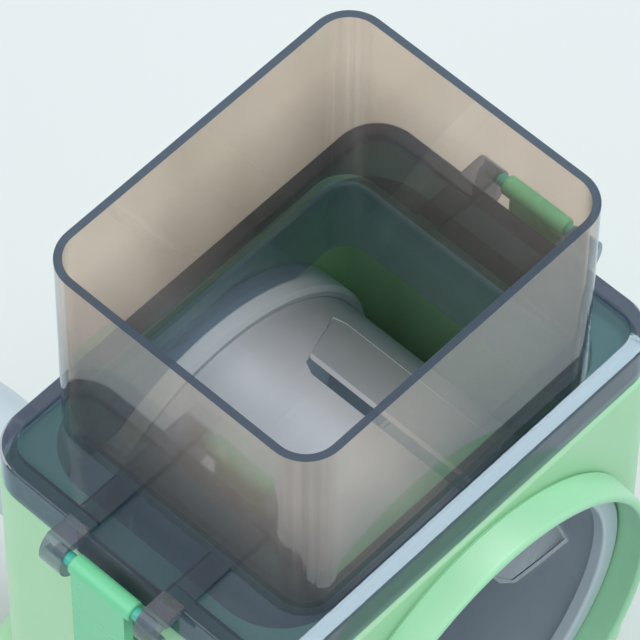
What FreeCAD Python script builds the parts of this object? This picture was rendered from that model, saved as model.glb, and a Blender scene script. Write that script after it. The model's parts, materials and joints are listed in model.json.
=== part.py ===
import FreeCAD
import Part
import math
import os

V = FreeCAD.Vector

# Driving dimensions, in millimetres
# The table is z = 0, the crank is at +Y and the drum's mouth at -Y

# Main places
stand_height = 60.0         # housing's underside above the table
hopper_height = 57.0        # hopper's rim above the lid's deck
head_forward = 8.0          # hopper and drum in front of the base's centre
past = 1.0                  # cuts and joined solids run this far past a face

# Hopper
hopper_side_inset = 14.3    # hopper's outside in from the lid's edges
hopper_front_inset = 4.5
hopper_radius = 9.0
hopper_wall = 1.8
hopper_rim_round = 0.6
throat_inset = 1.2          # throat below the deck, in from the hopper's outside
throat_lap = 7.4            # throat's sides below the top of the blades' circle
throat_to_blade = 1.1

# Lid
lid_front_inset = 0.8       # lid in from the housing's front and rear faces
lid_radius = 10.2
lid_plate = 2.2
lid_rim_height = 1.8
lid_rim_width = 3.6
lid_rim_round = 1.2
skirt_wall = 2.0
skirt_drop = 8.6
strip_height = 0.5          # flat strips from the hooks to the hopper

# Latches on the lid's sides
pin_out = 5.5               # latch pin outside the lid's edge
pin_drop = 1.2              # latch pin below the deck
pin_radius = 1.5
pin_reach = 3.2             # pin's length inside each hook
pin_clearance = 0.1
hook_radius = 6.2
hook_back = 3.5             # hook's centre inside the pin
hook_down = 2.2             # hook's centre below the pin
hook_side_gap = 1.1         # barrel's end to the hook
hook_width = 5.8
hook_mouth_rise = 0.6       # mouth's upper edge above the pin's axis
hook_mouth_lean = 1.2       # mouth's lower end outside the hook's centre
barrel_radius = 2.35
barrel_half = 9.3
barrel_round = 0.6
flap_length = 42.0
flap_thickness = 2.5
flap_corner = 3.0
grip_radius = 2.0
catch_reach = 3.0
catch_height = 3.4
keeper_lap = 1.25
keeper_height = 3.6
keeper_nose = 1.4
keeper_inset = 1.3          # catch and keeper inside the barrel's ends
catch_gap = 0.3

# Housing
housing_x = 118.6
housing_y = 84.6
housing_radius = 10.5
housing_wall = 2.6
drum_headroom = 2.6         # drum to the inside of the housing's shoulder
drum_floor_room = 4.5       # drum to the housing's floor
shoulder_round = 1.0
skirt_gap = 0.3             # skirt to shoulder and skirt to neck
neck_wall = 2.0
neck_round = 0.6
deck_gap = 0.4              # lid plate above the housing's top plate
top_plate = 2.5
cavity_side_gap = 7.2       # cavity's sides outside the throat
cavity_radius = 15.5
throat_gap = 0.7            # throat inside the cavity's opening

# Front collar
collar_wall = 2.9
collar_taper = 0.6
collar_length = 8.2
collar_round = 1.1
groove_width = 0.5
groove_depth = 0.6
spigot_wall = 1.5
spigot_fit = 0.1

# Slicing drum
drum_gap = 0.4              # drum's front ring inside the collar
mouth_recess = 7.1          # ring's face behind the collar's lip
ring_wall = 2.3             # front ring outside the sheet
ring_lip = 2.3              # front ring's face inside the sheet
ring_flange = 3.0
ring_sleeve = 4.8
ring_round = 0.8
sheet_radius = 44.0
sheet_thickness = 0.6
sheet_fit = 0.1
sheet_seat = 1.0            # sheet's end inside the back plate's flange
back_gap = 0.8              # drum's back to the housing's rear wall
back_flange = 4.0
back_sleeve = 5.0
back_chamfer = 1.0
dish_radius = 20.0
dish_depth = 4.0
window_count = 4
window_angle = -26.0
window_half = 9.0
window_corner = 1.6
window_corner_run = 3.0
window_slant = 7.4
window_front = 10.0         # window's foremost corner behind the ring's face
window_back = 7.0           # window's rearmost corner before the back sleeve
blade_rise = 1.9
blade_slot = 2.4
blade_root = 0.6
blade_bevel = 1.2
blade_end_gap = 0.3
hub_across = 19.0
hub_length = 26.0
hub_round = 1.0
socket_gap = 0.15

# Drive shaft and crank
shaft_radius = 6.0
shaft_fit = 0.05
hex_across = 10.0
hex_reach = 22.0
hex_round = 0.8
boss_radius = 15.0
boss_length = 9.7
bush_wall = 2.95
bush_flange = 1.5
bush_flange_radius = 12.0
washer_thickness = 0.6
washer_radius = 11.0
washer_gap = 0.1
clip_thickness = 1.1
clip_radius = 9.5
clip_groove = 0.9
clip_slot = 6.0
crank_radius = 72.0
crank_hub_radius = 11.0
crank_hub_height = 15.0
arm_thickness = 8.0
arm_setback = 3.2
arm_end_radius = 9.5
arm_round = 1.6
drive_across = 9.0
screw_radius = 2.0
screw_head_radius = 4.0
screw_head = 1.9
screw_head_gap = 0.1        # screw's head to the cap
screw_slot_depth = 0.8
screw_slot_half = 0.5
cap_recess = 1.4
cap_radius = 7.4
cap_proud = 0.6
cap_round = 0.4
cap_fit = 0.1

# Knob: radii and distances from its front end
knob_length = 58.0
knob_neck_radius = 8.5
knob_waist_radius = 10.5
knob_waist_at = 9.0
knob_belly_radius = 11.6
knob_belly_at = 26.0
knob_swell_radius = 12.5
knob_swell_at = 43.0
knob_end_radius = 11.0
knob_end_round = 2.4
knob_gap = 0.5
spindle_radius = 3.0
spindle_seat = 6.0          # spindle's length in the crank's arm
spindle_fit = 0.1
spindle_head_radius = 5.2
spindle_head = 2.4
spindle_end_gap = 0.4
knob_pocket_gap = 1.2       # spindle's head inside the knob's pocket
knob_cap = 2.4
knob_cap_rim = 0.6          # knob's flat end outside its cap

# Stand and round base
base_radius = 77.5
base_side = 11.5            # height of the base's straight side
base_shoulder = 5.0         # round between the side and the top
base_crown = 2.5            # dome's middle above the shoulder
stand_wall = 3.0
waist_height = 38.0
waist_x = 95.0
waist_y = 68.0
waist_radius = 19.0
flare_height = 14.0
flare_side_inset = 13.5     # column's foot in from the base's edge
flare_front_inset = 19.5
flare_radius = 48.0
foot_ring_width = 5.0
foot_ring_height = 3.0
foot_ring_chamfer = 1.0

# Screws that hold the housing on the stand
stand_screw_x = 36.0
stand_screw_y = 16.0
stand_boss_radius = 4.5
stand_boss_height = 9.0

# Suction foot
cup_side_gap = 8.5          # cup's edge to the foot ring
cup_edge = 1.2
cup_pad_radius = 20.0
cup_relief = 0.9
cup_relief_slope = 3.0
cup_lip = 8.0               # flat sealing lip's width
cup_boss_gap = 0.4          # cup's boss rises inside the lever's ring
cup_boss_root = 3.0         # cup's slope starts this far outside the boss
cup_boss_height = 7.2
plate_low = 5.0
plate_thickness = 2.5
plate_gap = 1.0
plate_cup_gap = 2.4         # plate above the cup's slope, which rises with the stem
plate_screw_inset = 8.0     # screw bosses in from the base's wall
plate_screw_angles = (60.0, 120.0, 240.0, 300.0)
plate_boss_radius = 4.5
stem_radius = 4.0
stem_fit = 0.08
stem_end = 1.0              # stem's top above the bridge
stem_foot_radius = 6.0
stem_foot_low = 3.0
stem_foot_height = 2.0
stem_pocket_gap = 0.3
cross_pin_radius = 1.6
cross_pin_gap = 0.3
cross_pin_end = 0.6
lever_gap = 0.2
lever_thickness = 3.5
lever_bore = 8.0
lever_ring = 14.0
lever_swing = 80.0
lever_rest_angle = -40.0
lever_lift = 3.5
lever_width = 12.0
lever_proud = 11.5          # lever's tip outside the base
paddle_rise = 3.0
paddle_inset = 1.0
paddle_round = 1.2
lever_window_gap = 0.5
lever_window_margin = 3.0
ramp_margin = 9.0
bridge_ring_gap = 1.5       # bridge's legs outside the lever's ring
bridge_leg = 5.0
bridge_width = 12.0
bridge_bar = 3.0
bridge_clear = 0.8
bridge_foot = 7.0
small_screw_radius = 1.5
small_head_radius = 2.8
small_head = 1.4
thread_bite = 5.0
pilot_spare = 1.0           # pilot hole deeper than its screw

# Places worked out from the driving dimensions
blade_radius = sheet_radius + blade_rise
drum_ring_radius = sheet_radius + sheet_fit + ring_wall
collar_bore = drum_ring_radius + drum_gap
axis_z = stand_height + housing_wall + drum_floor_room + drum_ring_radius
shoulder_z = axis_z + drum_ring_radius + drum_headroom + housing_wall
deck_z = shoulder_z + skirt_gap + skirt_drop
rim_z = deck_z + hopper_height
top_z = deck_z - lid_plate - deck_gap
throat_low_z = axis_z + blade_radius - throat_lap
head_y = -head_forward
lid_x = housing_x
lid_y = housing_y - 2 * lid_front_inset
hopper_x = lid_x - 2 * hopper_side_inset
hopper_y = lid_y - 2 * hopper_front_inset
throat_x = hopper_x - 2 * throat_inset
throat_y = hopper_y - 2 * throat_inset
hook_near = barrel_half + hook_side_gap
hook_far = hook_near + hook_width
keeper_half = barrel_half - keeper_inset
front_y = head_y - housing_y / 2
rear_y = head_y + housing_y / 2
inner_rear_y = rear_y - housing_wall
lip_y = front_y - collar_length
ring_y = lip_y + mouth_recess
drum_back_y = inner_rear_y - back_gap
sheet_end_y = drum_back_y - back_flange + sheet_seat
pin_x = lid_x / 2 + pin_out
pin_z = deck_z - pin_drop
flap_inner_x = pin_x + barrel_radius - flap_thickness
flap_low_z = pin_z - flap_length
catch_x = flap_inner_x - catch_reach
catch_top_z = flap_low_z + grip_radius + catch_height
boss_y = rear_y + boss_length
bush_rear_y = boss_y + bush_flange
crank_front_y = bush_rear_y + washer_thickness + 2 * washer_gap
crank_rear_y = crank_front_y + crank_hub_height
arm_front_y = crank_front_y + arm_setback
arm_rear_y = arm_front_y + arm_thickness
drive_end_y = crank_rear_y - cap_recess - screw_head_gap - screw_head
knob_z = axis_z - crank_radius
knob_cap_radius = knob_end_radius - knob_end_round - knob_cap_rim
knob_front_y = arm_rear_y + knob_gap
knob_rear_y = knob_front_y + knob_length
spindle_head_y = knob_rear_y - knob_cap - spindle_end_gap - spindle_head
dish_rear_y = drum_back_y - dish_depth
dish_front_y = dish_rear_y - back_flange
hex_front_y = dish_front_y - hex_reach
clip_y = inner_rear_y - washer_gap - clip_thickness
flare_x = 2 * (base_radius - flare_side_inset)
flare_y = 2 * (base_radius - flare_front_inset)
cup_radius = base_radius - foot_ring_width - cup_side_gap
cup_boss_radius = lever_bore - cup_boss_gap
plate_screw_radius = base_radius - stand_wall - plate_boss_radius - plate_screw_inset
lever_reach = base_radius + lever_proud
bridge_inner = lever_ring + bridge_ring_gap
plate_top = plate_low + plate_thickness
lever_low = plate_top + lever_gap
lever_top = lever_low + lever_thickness
cross_pin_z = lever_top + cross_pin_gap + cross_pin_radius
bridge_top = cross_pin_z + cross_pin_radius + lever_lift + bridge_clear
bridge_screw_y = bridge_inner + bridge_leg + bridge_foot / 2
stand_screw_places = [(sx * stand_screw_x, head_y + sy * stand_screw_y)
                      for sx in (-1, 1) for sy in (-1, 1)]


# Shape helpers

def rounded_outline(x_size, y_size, radius, y_centre, z):
    hx = x_size / 2 - radius
    hy = y_size / 2 - radius
    points = []
    for quarter, (sx, sy) in enumerate([(1, 1), (-1, 1), (-1, -1), (1, -1)]):
        for eighth in (0, 1, 2):
            a = math.pi / 4 * (2 * quarter + eighth)
            points.append(V(sx * hx + radius * math.cos(a),
                            y_centre + sy * hy + radius * math.sin(a), z))
    edges = []
    for i in range(0, 12, 3):
        edges.append(Part.Arc(points[i], points[i + 1], points[i + 2]).toShape())
        edges.append(Part.LineSegment(points[i + 2], points[(i + 3) % 12]).toShape())
    return Part.Wire(edges)


def rounded_block(x_size, y_size, radius, y_centre, z_low, z_high):
    face = Part.Face(rounded_outline(x_size, y_size, radius, y_centre, z_low))
    return face.extrude(V(0, 0, z_high - z_low))


def head_block(x_size, y_size, radius, z_low, z_high):
    return rounded_block(x_size, y_size, radius, head_y, z_low, z_high)


def block(x_low, x_high, y_low, y_high, z_low, z_high):
    return Part.makeBox(x_high - x_low, y_high - y_low, z_high - z_low, V(x_low, y_low, z_low))


def rod_y(radius, x, z, y_low, y_high):
    return Part.makeCylinder(radius, y_high - y_low, V(x, y_low, z), V(0, 1, 0))


def rod_z(radius, x, y, z_low, z_high):
    return Part.makeCylinder(radius, z_high - z_low, V(x, y, z_low))


def closed_face(points):
    return Part.Face(Part.makePolygon(points + [points[0]]))


def turned_y(profile, z):
    # profile: (radius, y) corners, turned about a line along Y at height z
    return closed_face([V(r, y, z) for r, y in profile]).revolve(V(0, 0, z), V(0, 1, 0), 360)


def turned_z(profile):
    # profile: (radius, z) corners, turned about the base's centre line
    return closed_face([V(r, 0, z) for r, z in profile]).revolve(V(0, 0, 0), V(0, 0, 1), 360)


def hexagon_y(across, z, y_low, y_high):
    r = across / math.sqrt(3)
    turns = [math.radians(60 * i) for i in range(6)]
    points = [V(r * math.cos(a), y_low, z + r * math.sin(a)) for a in turns]
    return closed_face(points).extrude(V(0, y_high - y_low, 0))


def plate_xz(corners, y_low, y_high):
    return closed_face([V(x, y_low, z) for x, z in corners]).extrude(V(0, y_high - y_low, 0))


def polar(radius, angle):
    a = math.radians(angle)
    return radius * math.cos(a), radius * math.sin(a)


def rounded_edges(shape, radius, chosen):
    return shape.makeFillet(radius, [e for e in shape.Edges if chosen(e)])


def near(a, b):
    return abs(a - b) < 0.01


def at_height(z):
    return lambda e: near(e.BoundBox.ZMin, z) and near(e.BoundBox.ZMax, z)


def at_y(*places):
    return lambda e: any(near(e.BoundBox.YMin, y) and near(e.BoundBox.YMax, y) for y in places)


def mirrored(shape):
    return shape.mirror(V(0, 0, 0), V(1, 0, 0))


def save(name, *solids):
    shape = solids[0] if len(solids) == 1 else Part.Compound(list(solids))
    if not shape.isValid():
        raise ValueError(name + " is not valid")
    shape.exportStep("parts/" + name + ".step")
    print(name, len(shape.Solids), "solids", round(shape.Volume / 1000, 2), "cm3")


# Lid with its hopper, throat, strips and hooks: one clear moulding

def hook_pair():
    hook_x = pin_x - hook_back
    hook_z = pin_z - hook_down
    edge = lid_x / 2
    floor = hook_z - hook_radius - past
    hooks = []
    for side in (-1, 1):
        y_low = head_y + min(side * hook_near, side * hook_far)
        y_high = y_low + hook_far - hook_near
        cut_low = y_low - past
        cut_high = y_high + past
        disc = rod_y(hook_radius, hook_x, hook_z, y_low, y_high)
        inner = block(0, edge - skirt_wall / 2, cut_low, cut_high, floor, deck_z + hook_radius)
        under = block(0, edge + skirt_gap, cut_low, cut_high, floor, deck_z - skirt_drop)
        bore = rod_y(pin_radius + pin_clearance, pin_x, pin_z, cut_low, cut_high)
        mouth_top = pin_z + hook_mouth_rise
        mouth = plate_xz([(edge, mouth_top), (pin_x - pin_radius, mouth_top), (pin_x, pin_z),
                          (pin_x, pin_z - pin_radius - pin_clearance),
                          (hook_x + hook_mouth_lean, floor), (edge, floor)], cut_low, cut_high)
        hooks.append(disc.cut(inner.fuse([under, bore, mouth])))
    return hooks


def hopper_lid():
    low = deck_z - skirt_drop
    high = deck_z + lid_rim_height
    plate = head_block(lid_x, lid_y, lid_radius, low, high)
    plate = rounded_edges(plate, lid_rim_round, at_height(high))
    tray = head_block(lid_x - 2 * lid_rim_width, lid_y - 2 * lid_rim_width,
                      lid_radius - lid_rim_width, deck_z, high + past)
    under = head_block(lid_x - 2 * skirt_wall, lid_y - 2 * skirt_wall,
                       lid_radius - skirt_wall, low - past, deck_z - lid_plate)
    plate = plate.cut(tray.fuse(under))
    strips = []
    for side in (-1, 1):
        y_low = head_y + min(side * hook_near, side * hook_far)
        strips.append(block(lid_rim_width - lid_x / 2 - past, lid_x / 2 - lid_rim_width + past, y_low,
                            y_low + hook_far - hook_near, deck_z - lid_plate / 2, deck_z + strip_height))
    tube = head_block(hopper_x, hopper_y, hopper_radius, deck_z - lid_plate / 2, rim_z)
    tube = rounded_edges(tube, hopper_rim_round, at_height(rim_z))
    throat = head_block(throat_x, throat_y, hopper_radius - throat_inset, throat_low_z, deck_z)
    hooks = hook_pair()
    body = plate.fuse(strips + [tube, throat] + hooks + [mirrored(h) for h in hooks])
    inside = head_block(hopper_x - 2 * hopper_wall, hopper_y - 2 * hopper_wall,
                        hopper_radius - hopper_wall, deck_z, rim_z + past)
    narrow = head_block(throat_x - 2 * hopper_wall, throat_y - 2 * hopper_wall,
                        hopper_radius - throat_inset - hopper_wall, throat_low_z - past, deck_z + past)
    saddle = rod_y(blade_radius + throat_to_blade, 0, axis_z,
                   head_y - hopper_y / 2, head_y + hopper_y / 2)
    return body.cut(inside.fuse([narrow, saddle])).removeSplitter()


def latch():
    y_low = head_y - barrel_half
    y_high = head_y + barrel_half
    flap = block(flap_inner_x, flap_inner_x + flap_thickness, y_low, y_high, flap_low_z, pin_z)
    flap = rounded_edges(flap, flap_corner,
                         lambda e: near(e.BoundBox.ZMax, flap_low_z) and near(e.BoundBox.YLength, 0))
    barrel = rod_y(barrel_radius, pin_x, pin_z, y_low, y_high)
    barrel = rounded_edges(barrel, barrel_round, at_y(y_low, y_high))
    pin_half = hook_near + pin_reach
    pins = rod_y(pin_radius, pin_x, pin_z, head_y - pin_half, head_y + pin_half)
    grip_half = barrel_half - flap_corner
    grip = rod_y(grip_radius, flap_inner_x + flap_thickness - grip_radius / 2,
                 flap_low_z + grip_radius, head_y - grip_half, head_y + grip_half)
    root_x = flap_inner_x + flap_thickness / 2
    catch = plate_xz([(catch_x, catch_top_z), (root_x, catch_top_z),
                      (root_x, catch_top_z - catch_height - catch_reach / 2),
                      (catch_x, catch_top_z - catch_height / 2)],
                     head_y - keeper_half, head_y + keeper_half)
    return flap.fuse([barrel, pins, grip, catch]).removeSplitter()


# Housing and collar

def keeper():
    low = catch_top_z + catch_gap
    tip = catch_x + keeper_lap
    root = housing_x / 2 - housing_wall / 2
    return plate_xz([(root, low), (tip, low), (tip, low + keeper_nose), (root, low + keeper_height)],
                    head_y - keeper_half, head_y + keeper_half)


def main_housing():
    body = head_block(housing_x, housing_y, housing_radius, stand_height, shoulder_z)
    body = rounded_edges(body, shoulder_round, at_height(shoulder_z))
    neck_inset = skirt_wall + skirt_gap
    neck_x = lid_x - 2 * neck_inset
    neck_y = lid_y - 2 * neck_inset
    neck_radius = lid_radius - neck_inset
    inner_top = shoulder_z - housing_wall
    neck = head_block(neck_x, neck_y, neck_radius, inner_top, top_z)
    neck = rounded_edges(neck, neck_round, at_height(top_z))
    keep = keeper()
    boss = rod_y(boss_radius, 0, axis_z, inner_rear_y, boss_y)
    boss = rounded_edges(boss, shoulder_round, at_y(boss_y))
    body = body.fuse([neck, keep, mirrored(keep), boss])
    room = head_block(housing_x - 2 * housing_wall, housing_y - 2 * housing_wall,
                      housing_radius - housing_wall, stand_height + housing_wall, inner_top)
    upper = head_block(neck_x - 2 * neck_wall, neck_y - 2 * neck_wall, neck_radius - neck_wall,
                       inner_top - past, top_z - top_plate)
    cavity = head_block(throat_x + 2 * cavity_side_gap, throat_y + 2 * throat_gap, cavity_radius,
                        inner_top - past, top_z + past)
    front = rod_y(collar_bore + spigot_wall + spigot_fit, 0, axis_z,
                  front_y - past, front_y + housing_wall + past)
    body = body.cut(room.fuse([upper, cavity, front]))
    body = body.fuse([rod_z(stand_boss_radius, x, y, stand_height + housing_wall / 2,
                            stand_height + stand_boss_height) for x, y in stand_screw_places])
    bush_hole = rod_y(shaft_radius + shaft_fit + bush_wall, 0, axis_z, inner_rear_y - past, boss_y + past)
    pilots = [rod_z(screw_radius, x, y, stand_height - past, stand_height + thread_bite + pilot_spare)
              for x, y in stand_screw_places]
    return body.cut(bush_hole.fuse(pilots)).removeSplitter()


def front_collar():
    outer = collar_bore + collar_wall
    inner_end = front_y + housing_wall
    ring = turned_y([(collar_bore, inner_end), (collar_bore + spigot_wall, inner_end),
                     (collar_bore + spigot_wall, front_y), (outer - groove_depth, front_y),
                     (outer - groove_depth, front_y - groove_width), (outer, front_y - groove_width),
                     (outer - collar_taper, lip_y), (collar_bore, lip_y)], axis_z)
    return rounded_edges(ring, collar_round, at_y(lip_y))


# Slicing drum

def drum_front_ring():
    sleeve_inner = sheet_radius + sheet_fit
    inner = sheet_radius - ring_lip
    flange_end = ring_y + ring_flange
    sleeve_end = flange_end + ring_sleeve
    ring = turned_y([(inner, ring_y), (drum_ring_radius, ring_y), (drum_ring_radius, sleeve_end),
                     (sleeve_inner, sleeve_end), (sleeve_inner, flange_end), (inner, flange_end)], axis_z)
    return rounded_edges(ring, ring_round, at_y(ring_y))


def drum_back_plate():
    outer = drum_ring_radius
    flange_front = drum_back_y - back_flange
    sleeve_front = flange_front - back_sleeve
    disc = turned_y([(0, dish_front_y), (dish_radius + back_flange, dish_front_y),
                     (sheet_radius - sheet_thickness - sheet_fit, flange_front + sheet_seat),
                     (sheet_radius + sheet_fit, flange_front + sheet_seat),
                     (sheet_radius + sheet_fit, sleeve_front), (outer - back_chamfer, sleeve_front),
                     (outer, sleeve_front + back_chamfer), (outer, drum_back_y),
                     (dish_radius, drum_back_y), (dish_radius, dish_rear_y), (0, dish_rear_y)], axis_z)
    hub_front = dish_front_y - hub_length
    hub = hexagon_y(hub_across, axis_z, hub_front, dish_front_y + past)
    hub = rounded_edges(hub, hub_round, at_y(hub_front))
    socket = hexagon_y(hex_across + 2 * socket_gap, axis_z, hex_front_y - 2 * socket_gap, dish_rear_y + past)
    return disc.fuse(hub).cut(socket).removeSplitter()


def window_outline(inset):
    # corners as (distance round the sheet, y), with slanting ends
    front = ring_y + window_front + inset
    back = sheet_end_y - back_sleeve - window_back - inset
    h = window_half
    wide = h + window_corner
    s = window_slant
    run = window_corner_run
    return [(-wide, front + s + run), (-h, front + s), (h, front), (wide, front + run),
            (wide, back - s - run), (h, back - s), (-h, back), (-wide, back - run)]


def radial_prism(corners, angle, r_low, r_high):
    a = math.radians(angle)
    out = V(math.cos(a), 0, math.sin(a))
    along = V(-math.sin(a), 0, math.cos(a))
    points = [V(0, y, axis_z) + out * r_low + along * u for u, y in corners]
    return closed_face(points).extrude(out * (r_high - r_low))


def blade_ramp(angle):
    # a flat blade, level with the sheet at its root and raised at its edge
    half = sheet_thickness / 2
    root_u = -window_half - window_corner - blade_root
    edge_u = window_half + window_corner - blade_slot
    tip_u = edge_u + blade_bevel
    root_w = math.sqrt((sheet_radius - half) ** 2 - root_u ** 2)
    edge_w = math.sqrt((blade_radius - half) ** 2 - edge_u ** 2)
    tip_w = math.sqrt(blade_radius ** 2 - tip_u ** 2) - half / 2
    section = [(root_u, root_w - half), (edge_u, edge_w - half), (tip_u, tip_w - half / 4),
               (tip_u, tip_w), (edge_u, edge_w + half), (root_u, root_w + half)]
    a = math.radians(angle)
    out = V(math.cos(a), 0, math.sin(a))
    along = V(-math.sin(a), 0, math.cos(a))
    start = ring_y + window_front
    points = [V(0, start, axis_z) + out * w + along * u for u, w in section]
    bar = closed_face(points).extrude(V(0, sheet_end_y - start, 0))
    corners = window_outline(blade_end_gap)
    reach = root_u - past
    corners[0] = (reach, corners[0][1])
    corners[-1] = (reach, corners[-1][1])
    return bar.common(radial_prism(corners, angle, 0, blade_radius + past))


def drum_sheet():
    start = ring_y + ring_flange + sheet_fit
    sheet = rod_y(sheet_radius, 0, axis_z, start, sheet_end_y)
    sheet = sheet.cut(rod_y(sheet_radius - sheet_thickness, 0, axis_z, start - past, sheet_end_y + past))
    angles = [window_angle + 360.0 * i / window_count for i in range(window_count)]
    windows = [radial_prism(window_outline(0), a, sheet_radius / 2, blade_radius + past) for a in angles]
    sheet = sheet.cut(windows)
    return sheet.fuse([blade_ramp(a) for a in angles]).removeSplitter()


# Shaft, bush and crank

def drive_shaft():
    step_y = dish_rear_y + past
    journal = rod_y(shaft_radius, 0, axis_z, step_y, crank_front_y)
    front = hexagon_y(hex_across, axis_z, hex_front_y, step_y + past)
    front = rounded_edges(front, hex_round, at_y(hex_front_y))
    rear = hexagon_y(drive_across, axis_z, crank_front_y - past, drive_end_y)
    groove = rod_y(shaft_radius + past, 0, axis_z, clip_y - washer_gap, inner_rear_y)
    groove = groove.cut(rod_y(shaft_radius - clip_groove, 0, axis_z, clip_y - past, inner_rear_y + past))
    pilot = rod_y(screw_radius, 0, axis_z, drive_end_y - thread_bite - pilot_spare, drive_end_y + past)
    return journal.fuse([front, rear]).cut(groove.fuse(pilot)).removeSplitter()


def rear_bush():
    bore = shaft_radius + shaft_fit
    outer = bore + bush_wall
    return turned_y([(bore, inner_rear_y), (outer, inner_rear_y), (outer, boss_y),
                     (bush_flange_radius, boss_y), (bush_flange_radius, bush_rear_y),
                     (bore, bush_rear_y)], axis_z)


def retaining_clip():
    y_high = clip_y + clip_thickness
    inner = shaft_radius - clip_groove + shaft_fit
    ring = turned_y([(inner, clip_y), (clip_radius, clip_y), (clip_radius, y_high), (inner, y_high)], axis_z)
    return ring.cut(block(-clip_slot / 2, clip_slot / 2, clip_y - past, y_high + past,
                          axis_z, axis_z + clip_radius + past))


def thrust_washer():
    y_low = bush_rear_y + washer_gap
    y_high = y_low + washer_thickness
    inner = shaft_radius + 2 * shaft_fit
    return turned_y([(inner, y_low), (washer_radius, y_low), (washer_radius, y_high),
                     (inner, y_high)], axis_z)


def crank_arm():
    hub = rod_y(crank_hub_radius, 0, axis_z, crank_front_y, crank_rear_y)
    hub = rounded_edges(hub, arm_round, at_y(crank_rear_y))
    # flanks run tangent to the hub and to the arm's end
    lean = math.asin((crank_hub_radius - arm_end_radius) / crank_radius)
    top = (crank_hub_radius * math.cos(lean), axis_z - crank_hub_radius * math.sin(lean))
    low = (arm_end_radius * math.cos(lean), knob_z - arm_end_radius * math.sin(lean))
    flanks = plate_xz([(-top[0], top[1]), top, low, (-low[0], low[1])], arm_front_y, arm_rear_y)
    arm = rod_y(crank_hub_radius, 0, axis_z, arm_front_y, arm_rear_y)
    arm = arm.fuse([rod_y(arm_end_radius, 0, knob_z, arm_front_y, arm_rear_y), flanks]).removeSplitter()
    arm = rounded_edges(arm, arm_round, at_y(arm_front_y, arm_rear_y))
    drive = hexagon_y(drive_across + 2 * shaft_fit, axis_z, crank_front_y - past, drive_end_y)
    shank = rod_y(screw_radius + cap_fit, 0, axis_z, crank_front_y, crank_rear_y)
    head = rod_y(screw_head_radius + cap_fit, 0, axis_z, drive_end_y, crank_rear_y)
    recess = rod_y(cap_radius + cap_fit, 0, axis_z, crank_rear_y - cap_recess, crank_rear_y + past)
    seat = rod_y(spindle_radius, 0, knob_z, arm_rear_y - spindle_seat, arm_rear_y + past)
    return arm.fuse(hub).cut(drive.fuse([shank, head, recess, seat])).removeSplitter()


def crank_screw():
    head_end = drive_end_y + screw_head
    head = rod_y(screw_head_radius, 0, axis_z, drive_end_y, head_end)
    shank = rod_y(screw_radius, 0, axis_z, drive_end_y - thread_bite, drive_end_y + screw_head / 2)
    slot = block(-screw_head_radius, screw_head_radius, head_end - screw_slot_depth, head_end + past,
                 axis_z - screw_slot_half, axis_z + screw_slot_half)
    return head.fuse(shank).cut(slot)


def crank_cap():
    top = crank_rear_y + cap_proud
    cap = rod_y(cap_radius, 0, axis_z, crank_rear_y - cap_recess, top)
    return rounded_edges(cap, cap_round, at_y(top))


# Knob on the crank

def knob_spindle():
    rod = rod_y(spindle_radius, 0, knob_z, arm_rear_y - spindle_seat, spindle_head_y + spindle_head)
    head = rod_y(spindle_head_radius, 0, knob_z, spindle_head_y, spindle_head_y + spindle_head)
    return rod.fuse(head)


def knob_grip():
    y0 = knob_front_y
    y1 = knob_rear_y
    bore = spindle_radius + spindle_fit
    side = Part.BSplineCurve()
    side.interpolate([V(knob_neck_radius, y0, 0), V(knob_waist_radius, y0 + knob_waist_at, 0),
                      V(knob_belly_radius, y0 + knob_belly_at, 0),
                      V(knob_swell_radius, y0 + knob_swell_at, 0),
                      V(knob_end_radius, y1 - knob_end_round, 0)])
    half = knob_end_round * (1 - math.sqrt(0.5))
    end = Part.Arc(V(knob_end_radius, y1 - knob_end_round, 0), V(knob_end_radius - half, y1 - half, 0),
                   V(knob_end_radius - knob_end_round, y1, 0))
    cap_seat = knob_cap_radius + cap_fit
    pocket = spindle_head_radius + knob_pocket_gap
    head_floor = spindle_head_y - spindle_fit
    inside = [V(knob_end_radius - knob_end_round, y1, 0), V(cap_seat, y1, 0), V(cap_seat, y1 - knob_cap, 0),
              V(pocket, y1 - knob_cap, 0), V(pocket, head_floor, 0),
              V(bore, head_floor, 0), V(bore, y0, 0), V(knob_neck_radius, y0, 0)]
    edges = [side.toShape(), end.toShape()]
    edges += [Part.LineSegment(a, b).toShape() for a, b in zip(inside, inside[1:])]
    knob = Part.Face(Part.Wire(edges)).revolve(V(0, 0, 0), V(0, 1, 0), 360)
    knob.translate(V(0, 0, knob_z))
    return knob


def knob_end_cap():
    top = knob_rear_y + cap_proud
    cap = rod_y(knob_cap_radius, 0, knob_z, knob_rear_y - knob_cap, top)
    return rounded_edges(cap, cap_round, at_y(top))


# Stand and base

def stand_section(z, inset):
    # from the waist, the column flares down to the base and up to the housing
    if z < waist_height:
        t = ((waist_height - z) / (waist_height - flare_height)) ** 2
        x_size = waist_x + (flare_x - waist_x) * t
        y_size = waist_y + (flare_y - waist_y) * t
        radius = waist_radius + (flare_radius - waist_radius) * t
        y_centre = 0.0
    else:
        t = ((z - waist_height) / (stand_height - waist_height)) ** 2
        x_size = waist_x + (housing_x - waist_x) * t
        y_size = waist_y + (housing_y - waist_y) * t
        radius = waist_radius + (housing_radius - waist_radius) * t
        y_centre = head_y * t
    return rounded_outline(x_size - 2 * inset, y_size - 2 * inset, radius - inset, y_centre, z)


def stand_column(z_high, inset):
    steps = 5
    spans = []
    for low, high in ((flare_height, waist_height), (waist_height, z_high)):
        heights = [low + (high - low) * i / steps for i in range(steps + 1)]
        spans.append(Part.makeLoft([stand_section(z, inset) for z in heights], True, False))
    return spans[0].fuse(spans[1])


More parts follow.
